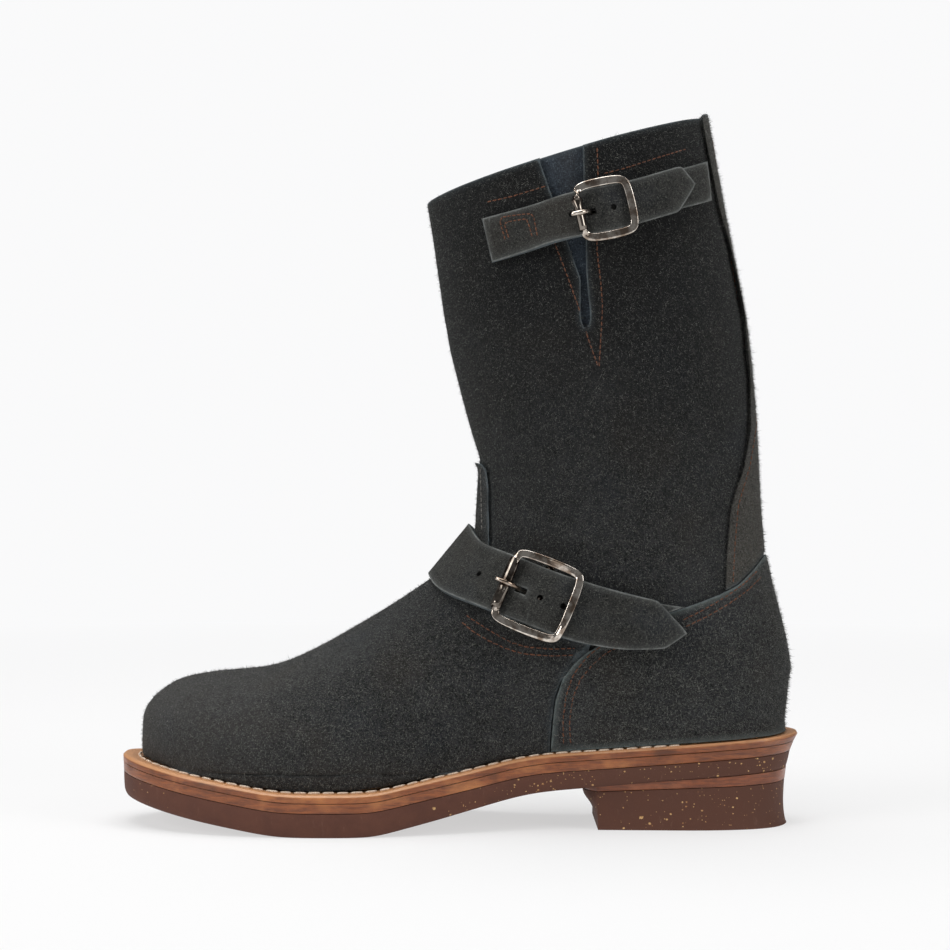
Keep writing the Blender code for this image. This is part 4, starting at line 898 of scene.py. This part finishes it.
# Soft creases of the ankle and the tread line, on both sides: line, width and depth in mm
CREASES = (
    (((474, 500), (520, 508), (580, 522), (640, 532)), 4.5, 0.45),
    (((492, 540), (560, 552), (640, 562), (700, 560)), 4.0, 0.40),
    (((757, 430), (720, 440), (680, 452)), 5.0, 0.40),
    (((748, 352), (700, 372), (660, 380)), 6.0, 0.35),
    (((447, 330), (490, 345), (540, 348)), 6.0, 0.35),
    (((330, 668), (352, 700), (362, 735)), 3.5, 0.22),
    (((372, 640), (392, 672), (404, 712)), 3.5, 0.25),
)
for points, width, depth in CREASES:
    for side in (1, -1):
        line, _ = surface_line(hide, points, side)
        if len(line) > 1:
            pressed(upper, line, width * MM, depth * MM)

# The coverings lie down on the creased hide, and the vamp's rear edge goes under the counter
COLLAR_FOLD = 0.302
VAMP_REAR = ((558, 630), (583, 681))
hide = tree_of(upper)
seated(stay, hide)
rough_fold(stay, COLLAR_FOLD, 3.2 * MM, 0.7 * MM)
slid_under(upper, *VAMP_REAR, 5 * MM)
seated(counter, tree_of(upper, stay))

# Sewing: the photograph's lines on the outer side, repeated on the inner side
COUNTER_ROWS = (
    ((563.5, 744), (563, 720), (566, 696), (573, 675), (586, 658), (598, 648), (612, 640)),
    ((570.5, 744), (569.5, 721), (573, 697), (580.5, 679), (593, 664), (606, 653), (618, 647)),
    ((683, 620), (705, 609), (727, 596), (745, 583), (757, 571)),
    ((685, 627), (708, 616), (730, 603), (748, 590), (761, 577)),
)
VAMP_ROWS = (
    ((462, 622), (472, 631), (489, 641), (507, 649), (524, 654), (552, 656), (574, 655)),
    ((466, 615), (476, 622), (492, 632), (510, 642), (526, 647), (552, 649), (582, 648)),
)
STAY_ROW = (
    (712, 140), (729, 226), (751, 309), (756.5, 375), (756, 427), (750, 465), (738, 506),
    (734.5, 548), (733, 583),
)
SHAFT_ROWS = (
    ((487, 202), (510, 197), (530, 191), (546, 186)),
    ((603, 174), (626, 168), (650, 160), (686, 149)),
    (
        (597, 147), (598, 170), (597, 200), (597, 251), (601, 284), (602.5, 307), (600, 352),
        (599, 367),
    ),
    ((545, 205), (555.5, 245), (567, 275), (578.5, 307), (589, 341), (598, 366)),
)
INNER_COLLAR_ROW = ((487, 202), (546, 186), (603, 174), (650, 160), (686, 149))
TONGUE_ROW = ((480.5, 468), (481.5, 496), (482, 530))
TACK_ROWS = (
    ((505.5, 240), (499.6, 220.5), (502, 217), (530, 213.5), (533.5, 215), (537.5, 236)),
    ((509, 238), (504, 222.5), (527, 218.5), (532.5, 237)),
)
for name, tree, rows in (
    ("counter_stitches", tree_of(counter), COUNTER_ROWS), ("vamp_stitches", hide, VAMP_ROWS),
    ("stay_stitches", tree_of(stay), (STAY_ROW,)),
):
    lines = [surface_line(tree, row, side) for row in rows for side in (1, -1)]
    lines = [line for line in lines if len(line[0]) > 2]
    sewn(name, lines, RUST, 2.7 * MM, 0.6 * MM)
lines = [surface_line(hide, row) for row in SHAFT_ROWS]
lines.append(surface_line(hide, INNER_COLLAR_ROW, -1))
sewn("shaft_stitches", lines, RUST, 2.5 * MM, 0.55 * MM)
sewn("tongue_stitches", [surface_line(hide, TONGUE_ROW)], PALE, 2.7 * MM, 0.55 * MM)
band = tree_of(top_strap)
lines = [surface_line(band, row) for row in TACK_ROWS]
sewn("top_strap_stitches", lines, RUST, 2.1 * MM, 0.6 * MM)


# The welt's row of stitches

DOWN = Vector((0, 0, -1))
# The row turns by these degrees to either side of the toe, and ends this far back
ROW_TURN = 167
ROW_RAYS = 300
ROW_ENDS = 0.102
# Heights that the welt lies between, and its ledge outside the hide
WELT_HEIGHTS = (0.012, 0.046)
NARROWEST_LEDGE, WIDEST_LEDGE = 1 * MM, 8 * MM


def welt_outline(tree):
    """The welt's widest reach in every direction, from the waist round the toe."""
    spots = []
    for angle in np.radians(np.linspace(-ROW_TURN, ROW_TURN, ROW_RAYS)):
        ray = Vector((-math.cos(angle), -math.sin(angle), 0))
        reach = 0
        for height in np.linspace(*WELT_HEIGHTS, 35):
            far = SOLE_CENTRE + ray * OUTSIDE + Vector((0, 0, height))
            spot = tree.ray_cast(far, -ray)[0]
            if spot is not None:
                reach = max(reach, (spot - SOLE_CENTRE).dot(ray))
        if reach > 0:
            spots.append((SOLE_CENTRE + ray * reach)[:2])
    return np.array(spots)


def inwards(line):
    """Level directions square to an outline, towards the sole's middle."""
    run = np.gradient(line, axis=0)
    run /= np.linalg.norm(run, axis=1, keepdims=True)
    square = np.stack([-run[:, 1], run[:, 0]], axis=1)
    return square * np.sign(((SOLE_MIDDLE - line) * square).sum(axis=1, keepdims=True))


def ledge_width(tree, cover, x, y, way):
    """How wide the welt is at this spot of its outline, up to the hide."""
    start, widest = 5 * MM, 13 * MM
    top = tree.ray_cast(Vector((x, y, OVERHEAD)) + way * 1.2 * MM, DOWN)[0]
    level = (top.z if top is not None else 0.03) + 2 * MM
    gap = cover.ray_cast(Vector((x, y, level)) - way * start, way)[3]
    return min(gap, widest) - start if gap is not None else 7 * MM


def welt_line(clear):
    """Line on the welt's top, this far from the hide, from the waist round the toe."""
    tree, cover = tree_of(welt), tree_of(upper, counter)
    line = welt_outline(tree)
    inner = inwards(line)
    widths = []
    for (x, y), way in zip(line, inner):
        widths.append(ledge_width(tree, cover, x, y, Vector((*way, 0))) - clear)
    smooth = np.convolve(np.pad(widths, 4, "edge"), np.ones(9) / 9, "valid")
    smooth = np.clip(smooth, NARROWEST_LEDGE, WIDEST_LEDGE)
    spots, normals = [], []
    for x, y in line + inner * smooth[:, None]:
        spot, normal, _, _ = tree.ray_cast(Vector((x, y, OVERHEAD)), DOWN)
        if spot is not None and spot.x < ROW_ENDS:
            spots.append(spot[:])
            normals.append(normal[:])
    return np.array(spots), np.array(normals)


sewn(
    "welt_stitches", [welt_line(1.1 * MM)], CREAM, 6.1 * MM, 1.25 * MM, share=0.84, slant=0.12,
    raised=0.2,
)
napped("upper_nap", upper, NAP, 1.6, 0.95 * MM, (8, 70), 3)
napped("counter_nap", counter, NAP, 2.0, 1.5 * MM, (8, 70), 5)
napped("stay_nap", stay, NAP, 2.4, 1.25 * MM, (8, 75), 7)
for seed, band in enumerate((instep_strap, top_strap, instep_short, top_short), 11):
    napped(
        f"{band.name}_nap", band, STRAP_NAP, 1.8, 0.6 * MM, (3, 30), seed,
        (OUTER, CUT),
    )


# Floor, light and camera

WHITE, BLACK = (1, 1, 1, 1), (0, 0, 0, 1)
WHITE_ROOM = (0.955, 0.955, 0.96, 1)
PAPER, PAPER_GLOW = (0.30, 0.299, 0.30, 1), (0.58, 0.58, 0.58, 1)
# Each lamp's place, size and power, and what it shines at
LAMPS = {
    "overhead": ((-0.1, -0.1, 1.9), 1.7, 34, (0, 0, 0.12)),
    "left_front": ((-1.7, -1.4, 1.1), 1.1, 24, (0, 0, 0.12)),
    "right_front": ((1.8, -1.1, 1.0), 1.0, 16, (0, 0, 0.12)),
    "backdrop": ((0.0, 1.2, 2.4), 2.0, 26, (0, 2.6, 0.8)),
}


def paper_floor():
    """White paper that takes shadows round the boot and runs into the white room."""
    bpy.ops.object.select_all(action="DESELECT")
    bpy.ops.mesh.primitive_circle_add(vertices=96, radius=12, fill_type="NGON")
    sweep = bpy.context.object
    sweep.name = "studio_paper_sweep"
    paper = Finish("studio_paper", Roughness=0.9, Specular_IOR_Level=0.0, Emission_Strength=1.0)
    away = paper.add("ShaderNodeVectorMath", {"operation": "LENGTH"}, (paper.place(),), 1)
    far = away.clip(0.25, 1.5)
    paper.wear(
        Base_Color=paper.blend(far, PAPER, BLACK),
        Emission_Color=paper.blend(far, PAPER_GLOW, WHITE_ROOM),
    )
    sweep.data.materials.append(paper.material)


def white_room():
    """Faint light from all sides, and a white wall where the camera sees past the floor."""
    world = bpy.context.scene.world or bpy.data.worlds.new("studio")
    bpy.context.scene.world = world
    world.use_nodes = True
    sky = world.node_tree
    room = sky.nodes["Background"]
    room.inputs["Color"].default_value = WHITE
    room.inputs["Strength"].default_value = 0.16
    wall = sky.nodes.new("ShaderNodeBackground")
    wall.inputs["Color"].default_value = WHITE_ROOM
    path = sky.nodes.new("ShaderNodeLightPath")
    either = sky.nodes.new("ShaderNodeMixShader")
    sky.links.new(path.outputs["Is Camera Ray"], either.inputs[0])
    sky.links.new(room.outputs[0], either.inputs[1])
    sky.links.new(wall.outputs[0], either.inputs[2])
    sky.links.new(either.outputs[0], sky.nodes["World Output"].inputs["Surface"])


def soft_lamps():
    for name, (place, size, power, aim) in LAMPS.items():
        lamp = bpy.data.lights.new(name, "AREA")
        lamp.energy, lamp.size = power, size
        thing = new_object(name, lamp)
        thing.location = place
        way = Vector(aim) - Vector(place)
        thing.rotation_euler = way.to_track_quat("-Z", "Y").to_euler()


def photograph_view():
    camera = bpy.data.cameras.new("photograph")
    camera.sensor_width = 36
    camera.lens = camera.sensor_width * FOCAL / PICTURE
    camera.clip_start = 0.05
    view = new_object("photograph", camera)
    view.location = EYE
    view.rotation_euler = (math.radians(90), 0, 0)
    bpy.context.scene.camera = view
    bpy.context.scene.view_settings.view_transform = "Standard"


paper_floor()
white_room()
soft_lamps()
photograph_view()
